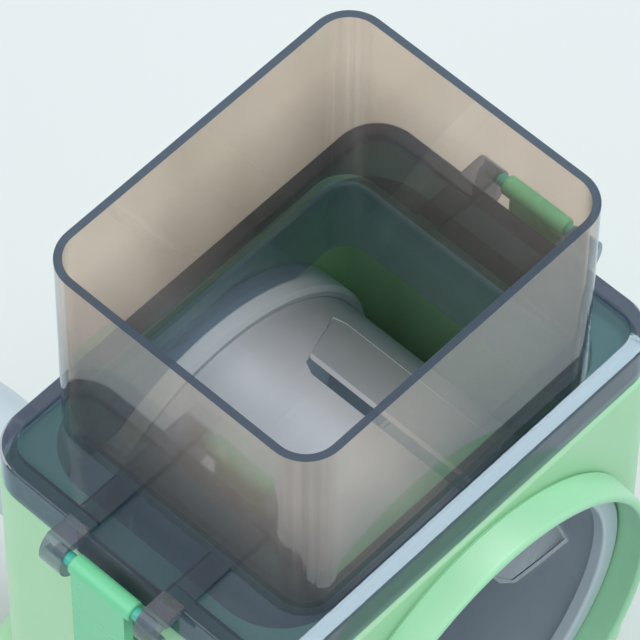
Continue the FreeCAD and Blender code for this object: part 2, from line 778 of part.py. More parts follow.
def base_dome(inset, low):
    r = base_radius - inset
    round_off = base_shoulder - inset
    centre_r = r - round_off
    top = base_side + round_off
    points = [V(0, 0, low), V(r, 0, low), V(r, 0, base_side), V(centre_r, 0, top),
              V(0, 0, base_side + base_shoulder + base_crown - inset)]
    diagonal = round_off * math.sqrt(0.5)
    middle = V(centre_r + diagonal, 0, base_side + diagonal)
    outline = [Part.LineSegment(points[0], points[1]), Part.LineSegment(points[1], points[2]),
               Part.Arc(points[2], middle, points[3]), Part.LineSegment(points[3], points[4]),
               Part.LineSegment(points[4], points[0])]
    wire = Part.Wire([stretch.toShape() for stretch in outline])
    return Part.Face(wire).revolve(V(0, 0, 0), V(0, 0, 1), 360)


def lever_window():
    # opening in the base's side that the lever swings in
    outer = base_radius + past
    inner = base_radius - stand_wall - plate_boss_radius
    low = lever_low - lever_window_gap
    high = lever_top + lever_window_gap
    ring = turned_z([(inner, low), (outer, low), (outer, high), (inner, high)])
    spare = math.degrees(math.asin((lever_width / 2 + lever_window_margin) / base_radius))
    half = lever_swing / 2 + spare
    middle = lever_rest_angle + lever_swing / 2
    fan = [V(0, 0, low - past)]
    steps = 6
    for i in range(steps + 1):
        x, y = polar(2 * outer, middle - half + 2 * half * i / steps)
        fan.append(V(x, y, low - past))
    return ring.common(closed_face(fan).extrude(V(0, 0, high - low + 2 * past)))


def base_stand():
    floor = foot_ring_height
    body = base_dome(0, floor).fuse(stand_column(stand_height, 0))
    hollow = base_dome(stand_wall, floor - past).fuse(stand_column(stand_height - stand_wall, stand_wall))
    body = body.cut(hollow)
    ceiling = base_side + base_shoulder - stand_wall / 2
    cuts = [lever_window()]
    bosses = []
    for angle in plate_screw_angles:
        x, y = polar(plate_screw_radius, angle)
        bosses.append(rod_z(plate_boss_radius, x, y, plate_top, ceiling))
        cuts.append(rod_z(small_screw_radius, x, y, plate_top - past, plate_top + thread_bite + pilot_spare))
    for x, y in stand_screw_places:
        cuts.append(rod_z(screw_radius + cap_fit, x, y, stand_height - stand_wall - past,
                          stand_height + past))
    return body.fuse(bosses).cut(cuts).removeSplitter()


def stand_screws():
    screws = []
    under = stand_height - stand_wall
    for x, y in stand_screw_places:
        shank = rod_z(screw_radius, x, y, under - screw_head, stand_height + thread_bite)
        head = rod_z(screw_head_radius, x, y, under - screw_head, under)
        slot = block(x - screw_head_radius, x + screw_head_radius, y - screw_slot_half, y + screw_slot_half,
                     under - screw_head - past, under - screw_head + screw_slot_depth)
        screws.append(head.fuse(shank).cut(slot))
    return screws


def foot_ring():
    inner = base_radius - foot_ring_width
    return turned_z([(inner, 0), (base_radius - foot_ring_chamfer, 0), (base_radius, foot_ring_chamfer),
                     (base_radius, foot_ring_height), (inner, foot_ring_height)])


# Suction foot

def base_plate():
    disc = rod_z(base_radius - stand_wall - plate_gap, 0, 0, plate_low, plate_top)
    places = [polar(plate_screw_radius, a) for a in plate_screw_angles]
    places += [(0, -bridge_screw_y), (0, bridge_screw_y)]
    cuts = [rod_z(small_screw_radius + cap_fit, x, y, plate_low - past, plate_top + past) for x, y in places]
    cuts.append(rod_z(cup_boss_radius + plate_gap, 0, 0, plate_low - past, plate_top + past))
    return disc.cut(cuts)


def small_screw(x, y, bite):
    head = rod_z(small_head_radius, x, y, plate_low - small_head, plate_low)
    return head.fuse(rod_z(small_screw_radius, x, y, plate_low - small_head, plate_top + bite))


def plate_screws():
    return [small_screw(*polar(plate_screw_radius, a), thread_bite) for a in plate_screw_angles]


def bridge_screws():
    return [small_screw(0, s * bridge_screw_y, bridge_bar) for s in (-1, 1)]


def suction_cup():
    slope_r = cup_boss_radius + cup_boss_root
    slope_z = plate_low - plate_cup_gap
    relief_end = cup_radius - cup_lip
    pocket = stem_foot_radius + stem_pocket_gap
    pocket_low = stem_foot_low - stem_pocket_gap
    pocket_high = stem_foot_low + stem_foot_height + stem_pocket_gap
    neck = stem_radius + stem_pocket_gap
    return turned_z([(0, 0), (cup_pad_radius, 0), (cup_pad_radius + cup_relief_slope, cup_relief),
                     (relief_end - cup_relief_slope, cup_relief), (relief_end, 0), (cup_radius, 0),
                     (cup_radius, cup_edge), (slope_r, slope_z), (cup_boss_radius, slope_z),
                     (cup_boss_radius, cup_boss_height), (neck, cup_boss_height), (neck, pocket_high),
                     (pocket, pocket_high), (pocket, pocket_low), (0, pocket_low)])


def pull_stem():
    foot = rod_z(stem_foot_radius, 0, 0, stem_foot_low, stem_foot_low + stem_foot_height)
    rod = rod_z(stem_radius, 0, 0, stem_foot_low, bridge_top + bridge_bar + stem_end)
    hole = rod_y(cross_pin_radius, 0, cross_pin_z, -stem_radius - past, stem_radius + past)
    return foot.fuse(rod).cut(hole)


def cross_pin():
    half = bridge_inner + bridge_leg - cross_pin_end
    return rod_y(cross_pin_radius, 0, cross_pin_z, -half, half)


def lever_ramp(start_angle):
    # helical ramp that lifts the cross pin as the lever swings
    rise = lever_lift * (lever_swing + 2 * ramp_margin) / lever_swing
    helix = Part.makeHelix(lever_lift * 360.0 / lever_swing, rise, lever_ring)
    profile = Part.makePolygon([V(lever_bore, 0, -lever_thickness), V(lever_ring, 0, -lever_thickness),
                                V(lever_ring, 0, 0), V(lever_bore, 0, 0),
                                V(lever_bore, 0, -lever_thickness)])
    ramp = Part.Wire(helix.Edges).makePipeShell([profile], True, True)
    ramp = ramp.mirror(V(0, 0, 0), V(0, 1, 0))
    ramp.rotate(V(0, 0, 0), V(0, 0, 1), start_angle + ramp_margin)
    ramp.translate(V(0, 0, lever_top - lever_lift * ramp_margin / lever_swing))
    keep = rod_z(lever_ring + past, 0, 0, lever_low, bridge_top)
    return ramp.common(keep)


def lock_lever():
    tip_x = lever_reach - lever_width / 2
    pad_top = lever_top + paddle_rise
    ring = turned_z([(lever_bore, lever_low), (lever_ring, lever_low), (lever_ring, lever_top),
                     (lever_bore, lever_top)])
    arm = block(lever_ring - past, tip_x, -lever_width / 2, lever_width / 2, lever_low, lever_top)
    tip = rod_z(lever_width / 2, tip_x, 0, lever_low, lever_top)
    pad = rod_z(lever_width / 2 - paddle_inset, tip_x, 0, lever_low, pad_top)
    pad = rounded_edges(pad, paddle_round, at_height(pad_top))
    arm = arm.fuse([tip, pad])
    arm.rotate(V(0, 0, 0), V(0, 0, 1), lever_rest_angle)
    return ring.fuse([arm, lever_ramp(90), lever_ramp(270)]).removeSplitter()


def lever_bridge():
    half = bridge_width / 2
    outer = bridge_inner + bridge_leg
    top = bridge_top + bridge_bar
    slot_half = cross_pin_radius + cross_pin_gap / 2
    parts = []
    cuts = [rod_z(stem_radius + stem_fit, 0, 0, bridge_top - past, top + past)]
    for s in (-1, 1):
        leg_low = min(s * bridge_inner, s * outer)
        foot_low = min(s * outer, s * (outer + bridge_foot))
        parts.append(block(-half, half, leg_low, leg_low + bridge_leg, plate_top, top))
        parts.append(block(-half, half, foot_low, foot_low + bridge_foot, plate_top, plate_top + bridge_bar))
        cuts.append(block(-slot_half, slot_half, leg_low - past, leg_low + bridge_leg + past,
                          lever_top, bridge_top))
        cuts.append(rod_z(small_screw_radius, 0, s * bridge_screw_y, plate_top - past,
                          plate_top + bridge_bar + past))
    bar = block(-half, half, -outer, outer, bridge_top, top)
    return bar.fuse(parts).cut(cuts).removeSplitter()


os.makedirs("parts", exist_ok=True)
save("hopper_lid", hopper_lid())
right_latch = latch()
save("right_latch", right_latch)
save("left_latch", mirrored(right_latch))
save("main_housing", main_housing())
save("front_collar", front_collar())
save("drum_front_ring", drum_front_ring())
save("drum_sheet", drum_sheet())
save("drum_back_plate", drum_back_plate())
save("drive_shaft", drive_shaft())
save("rear_bush", rear_bush())
save("retaining_clip", retaining_clip())
save("thrust_washer", thrust_washer())
save("crank_arm", crank_arm())
save("crank_screw", crank_screw())
save("crank_cap", crank_cap())
save("knob_spindle", knob_spindle())
save("knob_grip", knob_grip())
save("knob_end_cap", knob_end_cap())
save("base_stand", base_stand())
save("stand_screws", *stand_screws())
save("foot_ring", foot_ring())
save("base_plate", base_plate())
save("plate_screws", *plate_screws())
save("suction_cup", suction_cup())
save("pull_stem", pull_stem())
save("cross_pin", cross_pin())
save("lock_lever", lock_lever())
save("lever_bridge", lever_bridge())
save("bridge_screws", *bridge_screws())
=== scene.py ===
import bpy
import json
import math
from mathutils import Matrix, Vector


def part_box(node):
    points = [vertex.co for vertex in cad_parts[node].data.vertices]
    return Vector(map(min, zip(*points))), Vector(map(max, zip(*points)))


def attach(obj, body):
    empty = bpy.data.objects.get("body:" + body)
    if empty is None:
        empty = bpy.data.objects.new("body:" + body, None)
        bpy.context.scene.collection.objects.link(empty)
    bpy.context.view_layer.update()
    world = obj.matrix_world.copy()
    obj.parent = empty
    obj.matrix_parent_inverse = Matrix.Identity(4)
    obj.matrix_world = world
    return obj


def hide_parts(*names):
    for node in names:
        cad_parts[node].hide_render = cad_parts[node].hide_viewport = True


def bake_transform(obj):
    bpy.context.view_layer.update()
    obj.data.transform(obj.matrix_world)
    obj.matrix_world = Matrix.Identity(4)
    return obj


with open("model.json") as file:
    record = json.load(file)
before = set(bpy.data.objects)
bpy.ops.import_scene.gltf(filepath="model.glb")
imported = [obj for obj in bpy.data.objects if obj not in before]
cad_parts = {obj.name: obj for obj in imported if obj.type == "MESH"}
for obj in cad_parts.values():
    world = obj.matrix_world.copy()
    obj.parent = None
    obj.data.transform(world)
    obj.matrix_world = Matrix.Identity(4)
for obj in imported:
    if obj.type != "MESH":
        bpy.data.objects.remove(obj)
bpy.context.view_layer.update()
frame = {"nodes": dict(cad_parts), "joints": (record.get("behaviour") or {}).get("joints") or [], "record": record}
print("frame loaded:", len(frame["nodes"]), "CAD nodes")

# places that the frame gives, in metres
joints = {j["name"]: j for j in frame["joints"]}
drumAxisZ = joints["crank_spin"]["pos_m"][2]
knobAxisZ = joints["knob_spin"]["pos_m"][2]
latchPin = Vector(joints["latch_right_hinge"]["pos_m"])
headY = latchPin.y
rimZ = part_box("hopper_lid")[1].z
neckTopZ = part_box("main_housing")[1].z
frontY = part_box("main_housing")[0].y
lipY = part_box("front_collar")[0].y
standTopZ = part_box("base_stand")[1].z
past = 0.001  # cutters run this far past a face
hair = 0.0001  # tolerance when faces and edges are picked by their place
towards = 0.9  # a face looks along an axis when its normal has this much of it
fineMerge = 0.000002  # for pieces with very short edges


# working in object and edit mode

def setMode(mode):
    bpy.ops.object.mode_set(mode=mode)


def deselectAll():
    if bpy.context.mode != "OBJECT":
        setMode("OBJECT")
    bpy.ops.object.select_all(action="DESELECT")


def activate(piece):
    deselectAll()
    piece.select_set(True)
    bpy.context.view_layer.objects.active = piece


def openEdit(kind, action="SELECT"):
    setMode("EDIT")
    bpy.ops.mesh.select_mode(type=kind)
    bpy.ops.mesh.select_all(action=action)


def extrude(step):
    bpy.ops.mesh.extrude_region_move(TRANSFORM_OT_translate={"value": step})


def finishEdit():
    # all normals outwards, then back to object mode
    bpy.ops.mesh.select_all(action="SELECT")
    bpy.ops.mesh.normals_make_consistent(inside=False)
    setMode("OBJECT")


def selectOpenEdges():
    bpy.ops.mesh.select_all(action="DESELECT")
    bpy.ops.mesh.select_non_manifold()


def named(name):
    piece = bpy.context.active_object
    piece.name = name
    piece.data.name = name
    return piece


def applyPlace(piece):
    activate(piece)
    bpy.ops.object.transform_apply(location=True, rotation=True, scale=True)
    return piece


def pick(piece, kind, test):
    # selects faces by centre and normal, or edges by their two ends, and stays in edit mode
    activate(piece)
    openEdit(kind, "DESELECT")
    setMode("OBJECT")
    mesh = piece.data
    if kind == "FACE":
        for face in mesh.polygons:
            face.select = test(face.center, face.normal)
    else:
        for edge in mesh.edges:
            a, b = [mesh.vertices[i].co for i in edge.vertices]
            edge.select = test(a, b)
    setMode("EDIT")


def bevelEdges(piece, test, width, segments):
    pick(piece, "EDGE", test)
    bpy.ops.mesh.bevel(offset=width, segments=segments, affect="EDGES")
    setMode("OBJECT")


def bevelAbove(piece, z, width, segments):
    bevelEdges(piece, lambda a, b: min(a.z, b.z) > z - hair, width, segments)


def bevelEnds(piece, width, segments):
    # the two end circles of a rod along Y
    bevelEdges(piece, lambda a, b: abs(a.y - b.y) < hair, width, segments)


def applyModifier(piece, kind, **settings):
    modifier = piece.modifiers.new(kind.lower(), kind)
    for key, value in settings.items():
        setattr(modifier, key, value)
    activate(piece)
    bpy.ops.object.modifier_apply(modifier=modifier.name)


def combine(piece, operation, *others):
    for other in others:
        applyModifier(piece, "BOOLEAN", operation=operation, solver="EXACT", object=other)
        bpy.data.objects.remove(other)
    return piece


def join(piece, *others):
    return combine(piece, "UNION", *others)


def cut(piece, *others):
    return combine(piece, "DIFFERENCE", *others)


def softenEdges(piece, width, segments=2, angle=40):
    applyModifier(piece, "BEVEL", width=width, segments=segments, limit_method="ANGLE",
                  angle_limit=math.radians(angle), use_clamp_overlap=True, miter_outer="MITER_ARC")


def mergePoints(piece, distance=0.00001):
    activate(piece)
    setMode("EDIT")
    bpy.ops.mesh.select_all(action="SELECT")
    bpy.ops.mesh.remove_doubles(threshold=distance)
    finishEdit()


def smoothShade(piece, angle=35):
    activate(piece)
    bpy.ops.object.shade_smooth_by_angle(angle=math.radians(angle))


def paint(piece, *finishes):
    piece.data.materials.clear()
    for finish in finishes:
        piece.data.materials.append(finish)


def finishPiece(piece, body, nodes, smoothAngle=35):
    smoothShade(piece, smoothAngle)
    applyModifier(piece, "WEIGHTED_NORMAL", keep_sharp=True, weight=80)
    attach(piece, body)
    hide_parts(*nodes)
    print("made", piece.name, len(piece.data.polygons), "faces")


# starting shapes

def block(name, low, high):
    centre = [(a + b) / 2 for a, b in zip(low, high)]
    deselectAll()
    bpy.ops.mesh.primitive_cube_add(size=1, location=centre)
    piece = named(name)
    piece.scale = [b - a for a, b in zip(low, high)]
    return applyPlace(piece)


def roundedBlock(name, xSize, ySize, radius, zLow, zHigh, segments=12):
    # a block with four rounded corners, centred on the head
    piece = block(name, (-xSize / 2, headY - ySize / 2, zLow), (xSize / 2, headY + ySize / 2, zHigh))
    bevelEdges(piece, lambda a, b: abs(a.z - b.z) > (zHigh - zLow) / 2, radius, segments)
    return piece


def rod(name, radius, start, end, vertices=64):
    # a cylinder between two points
    start, end = Vector(start), Vector(end)
    line = end - start
    deselectAll()
    bpy.ops.mesh.primitive_cylinder_add(vertices=vertices, radius=radius, depth=line.length,
                                        location=(start + end) / 2)
    piece = named(name)
    piece.rotation_mode = "QUATERNION"
    piece.rotation_quaternion = line.to_track_quat("Z", "Y")
    return applyPlace(piece)


def axisRod(name, radius, startY, endY, vertices):
    return rod(name, radius, (0, startY, drumAxisZ), (0, endY, drumAxisZ), vertices)


def uprightRod(name, radius, x, y, low, high, vertices=24):
    return rod(name, radius, (x, y, low), (x, y, high), vertices)


def turned(name, stations, centre, along="Y", steps=96, closed=True):
    # a circle extruded from station to station: (radius, place along the axis)
    axis, turn = (Vector((0, 1, 0)), math.pi / 2) if along == "Y" else (Vector((0, 0, 1)), 0)
    centre = Vector(centre)
    radius, place = stations[0]
    deselectAll()
    bpy.ops.mesh.primitive_circle_add(vertices=steps, radius=radius, location=centre + axis * place,
                                      rotation=(turn, 0, 0))
    piece = applyPlace(named(name))
    openEdit("EDGE")
    for nextRadius, nextPlace in stations[1:]:
        extrude(axis * (nextPlace - place))
        ratio = nextRadius / radius
        grow = (ratio, 1, ratio) if along == "Y" else (ratio, ratio, 1)
        bpy.ops.transform.resize(value=grow, center_override=centre + axis * nextPlace)
        radius, place = nextRadius, nextPlace
    selectOpenEdges()
    if closed:
        bpy.ops.mesh.bridge_edge_loops()
    else:
        bpy.ops.mesh.fill_holes(sides=0)
    finishEdit()
    return piece


def arc(radius, place, size, fromAngle, toAngle, steps=5):
    # stations on a round edge whose centre is at (radius, place)
    turns = [math.radians(fromAngle + (toAngle - fromAngle) * i / steps) for i in range(steps + 1)]
    return [(radius + size * math.cos(t), place + size * math.sin(t)) for t in turns]


def outlinePrism(name, corners, step):
    # a circle's points set to the corners, filled and extruded
    deselectAll()
    bpy.ops.mesh.primitive_circle_add(vertices=len(corners), fill_type="NGON")
    piece = named(name)
    for vertex, corner in zip(piece.data.vertices, corners):
        vertex.co = corner
    openEdit("FACE")
    extrude(step)
    finishEdit()
    return piece


def lofted(name, outlines):
    # a circle's points set to the first outline, then extruded to each next one
    deselectAll()
    bpy.ops.mesh.primitive_circle_add(vertices=len(outlines[0]))
    piece = named(name)
    for number, outline in enumerate(outlines):
        if number == 0:
            openEdit("EDGE")
        else:
            setMode("EDIT")
            bpy.ops.mesh.extrude_region_move()
        setMode("OBJECT")
        fresh = [v for v in piece.data.vertices if v.select]
        for vertex, point in zip(fresh, outline):
            vertex.co = point
    setMode("EDIT")
    selectOpenEdges()
    bpy.ops.mesh.fill_holes(sides=0)
    finishEdit()
    return piece


def mirroredX(piece, name):
    activate(piece)
    bpy.ops.object.duplicate()
    other = named(name)
    other.scale.x = -1
    applyPlace(other)
    mergePoints(other)
    return other


# material building

def newTree(name):
    material = bpy.data.materials.new(name)
    material.use_nodes = True
    material.node_tree.nodes.clear()
    return material, material.node_tree


def setSocket(tree, socket, value):
    # a link to another node's output, or a plain value; colours are given without alpha
    if isinstance(value, bpy.types.NodeSocket):
        tree.links.new(value, socket)
    else:
        socket.default_value = (*value, 1) if socket.type == "RGBA" else value


def addNode(tree, kind, inputs=None, **settings):
    node = tree.nodes.new("ShaderNode" + kind)
    for key, value in settings.items():
        setattr(node, key, value)
    for key, value in (inputs or {}).items():
        setSocket(tree, node.inputs[key], value)
    return node


def maths(tree, operation, *values):
    return addNode(tree, "Math", dict(enumerate(values)), operation=operation).outputs[0]


def objectCoords(tree, scale=(1, 1, 1), centre=(0, 0, 0)):
    source = addNode(tree, "TexCoord").outputs["Object"]
    inputs = {"Vector": source, "Scale": scale, "Location": [-c * s for c, s in zip(centre, scale)]}
    return addNode(tree, "Mapping", inputs).outputs[0]


def noise(tree, coords, scale, detail, roughness=0.5):
    inputs = {"Vector": coords, "Scale": scale, "Detail": detail, "Roughness": roughness}
    return addNode(tree, "TexNoise", inputs).outputs["Fac"]


def spread(tree, value, low, high, fromLow=0.3, fromHigh=0.7):
    # the default range is the one that most of a noise falls in
    inputs = {"Value": value, "From Min": fromLow, "From Max": fromHigh, "To Min": low, "To Max": high}
    return addNode(tree, "MapRange", inputs).outputs[0]


def mixColour(tree, factor, first, second):
    node = addNode(tree, "Mix", data_type="RGBA")
    shown = {s.name: s for s in node.inputs if s.enabled}
    for key, value in (("Factor", factor), ("A", first), ("B", second)):
        setSocket(tree, shown[key], value)
    return [s for s in node.outputs if s.enabled][0]


def bumped(tree, height, depth):
    return addNode(tree, "Bump", {"Height": height, "Distance": depth}).outputs[0]


def shadeWith(tree, kind, inputs):
    shader = addNode(tree, kind, inputs).outputs[0]
    addNode(tree, "OutputMaterial", {"Surface": shader})


def mouldedPlastic(name, look):
    # flow marks in the colour, an uneven gloss and faint sink marks
    material, tree = newTree(name)
    coords = objectCoords(tree)
    flow = noise(tree, coords, look["flowScale"], 3.0)
    colour = mixColour(tree, spread(tree, flow, 0, 1), look["colour"], look["flowColour"])
    gloss = spread(tree, noise(tree, coords, look["glossScale"], 3.0), look["smooth"], look["rough"])
    normal = bumped(tree, noise(tree, coords, look["waveScale"], 1.0), look["waveDepth"])
    shadeWith(tree, "BsdfPrincipled",
              {"Base Color": colour, "Roughness": gloss, "Normal": normal, "IOR": 1.5})
    return material


def turnedMetal(name, look):
    # fine rings round the axis, left by rolling and brushing
    material, tree = newTree(name)
    rings = noise(tree, objectCoords(tree, look["ringScale"]), 1.0, 3.0, 0.65)
    stain = noise(tree, objectCoords(tree), 45.0, 3.0)
    colour = mixColour(tree, spread(tree, stain, 0, 1), look["colour"], look["darkColour"])
    rough = spread(tree, rings, look["smooth"], look["rough"])
    shadeWith(tree, "BsdfPrincipled",
              {"Base Color": colour, "Metallic": look["metal"], "Roughness": rough,
               "Normal": bumped(tree, rings, look["ringDepth"])})
    return material


def softRubber(name, look):
    material, tree = newTree(name)
    coords = objectCoords(tree)
    dust = noise(tree, coords, look["dustScale"], 4.0, 0.6)
    colour = mixColour(tree, spread(tree, dust, 0, 1), look["colour"], look["dustColour"])
    rough = spread(tree, dust, look["smooth"], look["rough"])
    normal = bumped(tree, noise(tree, coords, look["grainScale"], 2.0), look["grainDepth"])
    shadeWith(tree, "BsdfPrincipled",
              {"Base Color": colour, "Roughness": rough, "Normal": normal,
               "Specular IOR Level": look["specular"]})
    return material


def cornerLines(tree, scale):
    # upright streaks in the hopper's rounded corners, in the tint and the bump
    place = addNode(tree, "SeparateXYZ", {0: objectCoords(tree, (1, 1, 1), (0, headY, 0))})
    inCorner = []
    for axis, size in (("X", lid["hopperX"]), ("Y", lid["hopperY"])):
        far = maths(tree, "ABSOLUTE", place.outputs[axis])
        start = size / 2 - lid["hopperCorner"]
        inCorner.append(spread(tree, far, 0, 1, start, start + lid["hopperCorner"] / 2))
    lines = spread(tree, noise(tree, objectCoords(tree, scale), 1.0, 2.0), 0, 1)
    return maths(tree, "MULTIPLY", lines, maths(tree, "MULTIPLY", *inCorner))


def smokyPlastic(name, look):
    # light goes through tinted, the surface mirrors more at a flat angle, and a little haze shows
    material, tree = newTree(name)
    coords = objectCoords(tree)
    # the tint deepens from paleZ to deepZ; on the hopper's walls it is painted shade, darker towards their foot
    streaks = noise(tree, objectCoords(tree, look["streakScale"]), 1.0, 2.0)
    height = addNode(tree, "SeparateXYZ", {0: coords}).outputs["Z"]
    depth = maths(tree, "ADD", spread(tree, streaks, 0, look["streakShare"]),
                  spread(tree, height, 0, 1 - look["streakShare"], look["paleZ"], look["deepZ"]))
    normal = bumped(tree, noise(tree, coords, look["waveScale"], 1.0), look["waveDepth"])
    if "lineShare" in look:
        lines = cornerLines(tree, look["lineScale"])
        depth = maths(tree, "MULTIPLY_ADD", lines, look["lineShare"], depth)
        inputs = {"Height": lines, "Distance": look["lineDepth"], "Normal": normal}
        normal = addNode(tree, "Bump", inputs).outputs[0]
    tint = mixColour(tree, depth, look["tint"], look["deepTint"])
    clear = addNode(tree, "BsdfTransparent", {"Color": tint})
    haze = addNode(tree, "BsdfPrincipled",
                   {"Base Color": look["haze"], "Roughness": look["hazeRough"], "Specular IOR Level": 0.0,
                    "Normal": normal})
    inside = addNode(tree, "MixShader",
                     {0: look["hazeShare"], 1: clear.outputs[0], 2: haze.outputs[0]})
    mirror = addNode(tree, "BsdfGlossy",
                     {"Color": look["mirror"], "Roughness": look["rough"], "Normal": normal})
    flatness = addNode(tree, "LayerWeight", {"Blend": 0.5, "Normal": normal}).outputs["Facing"]
    least = look["leastMirror"]
    share = maths(tree, "MULTIPLY_ADD", maths(tree, "POWER", flatness, look["mirrorPower"]), 1 - least, least)
    shadeWith(tree, "MixShader", {0: share, 1: inside.outputs[0], 2: mirror.outputs[0]})
    return material


# hopper and lid: one clear smoky moulding
lid = {
    "deckZ": 0.174, "x": 0.1186, "y": 0.083, "corner": 0.0102, "rimWidth": 0.0036, "rimHeight": 0.0018,
    "plate": 0.0022, "skirtWall": 0.002, "skirtDrop": 0.0086, "rimRound": 0.0005, "rimSlope": 0.0007,
    "hopperX": 0.090, "hopperY": 0.074, "hopperCorner": 0.009, "wall": 0.0018, "throatInset": 0.0012,
    "throatLow": 0.152, "saddle": 0.047, "stripHeight": 0.0013, "edgeSoft": 0.0003,
    "hookRadius": 0.0062, "hookBack": 0.0035, "hookDown": 0.0022, "hookNear": 0.0104, "hookFar": 0.0162,
    "hookStep": 0.0003, "hookRoom": 0.02, "pinBore": 0.0016, "mouthRise": 0.0006, "mouthLean": 0.0012,
    "stripOverlap": 0.0005, "saddleHalf": 0.06, "darkHalf": 0.0134, "rimBand": 0.0005, "wallSlope": 0.5,
    "softLow": 0.25, "softHigh": 0.95,
}

# what the plain plastics share, unless a look says otherwise
plasticLook = {"flowScale": 20.0, "glossScale": 80.0, "smooth": 0.30, "rough": 0.40, "waveScale": 50.0,
               "waveDepth": 0.00002}
plasticLooks = {
    "mint_plastic": {"colour": (0.345, 0.640, 0.385), "flowColour": (0.365, 0.660, 0.405),
        "flowScale": 14.0, "glossScale": 70.0, "waveScale": 35.0, "waveDepth": 0.00003},
    "fresh_mint_plastic": {"colour": (0.133, 0.550, 0.300), "flowColour": (0.148, 0.570, 0.315),
        "smooth": 0.24, "rough": 0.32, "waveScale": 45.0, "waveDepth": 0.000004},
    # a darker teal copy of the latch plastic for the pins: painted shade
    "pin_shade_mint_plastic": {"colour": (0.045, 0.420, 0.330), "flowColour": (0.055, 0.450, 0.355),
        "flowScale": 30.0, "glossScale": 90.0, "smooth": 0.22, "rough": 0.30,
        "waveScale": 60.0, "waveDepth": 0.00001},
    "collar_mint_plastic": {"colour": (0.300, 0.625, 0.385), "flowColour": (0.320, 0.645, 0.405),
        "flowScale": 18.0, "glossScale": 70.0, "waveScale": 40.0},
    "grey_plastic": {"colour": (0.43, 0.51, 0.57), "flowColour": (0.46, 0.54, 0.60), "rough": 0.42},
    "natural_nylon": {"colour": (0.72, 0.72, 0.68), "flowColour": (0.66, 0.66, 0.61), "flowScale": 30.0,
        "glossScale": 90.0, "smooth": 0.45, "rough": 0.58, "waveScale": 60.0},
}
metalLooks = {
    "turned_steel": {"colour": (0.56, 0.57, 0.59), "darkColour": (0.48, 0.49, 0.51), "metal": 1.0,
        "ringScale": (4, 2600, 4), "ringDepth": 0.000006, "smooth": 0.22, "rough": 0.36},
    "drum_steel": {"colour": (0.44, 0.50, 0.56), "darkColour": (0.39, 0.45, 0.51), "metal": 0.35,
        "ringScale": (4, 1800, 4), "ringDepth": 0.000004, "smooth": 0.34, "rough": 0.46},
    # pale and hardly metallic: a painted highlight on the sheet's lips and cut edges
    "drum_edge_highlight_steel": {"colour": (0.80, 0.85, 0.90), "darkColour": (0.72, 0.77, 0.82), "metal": 0.1,
        "ringScale": (40, 400, 40), "ringDepth": 0.000003, "smooth": 0.25, "rough": 0.38},
}
rubberLook = {"colour": (0.085, 0.10, 0.115), "dustColour": (0.13, 0.145, 0.155), "dustScale": 60.0,
              "grainScale": 1800.0, "grainDepth": 0.00005, "smooth": 0.62, "rough": 0.78, "specular": 0.35}

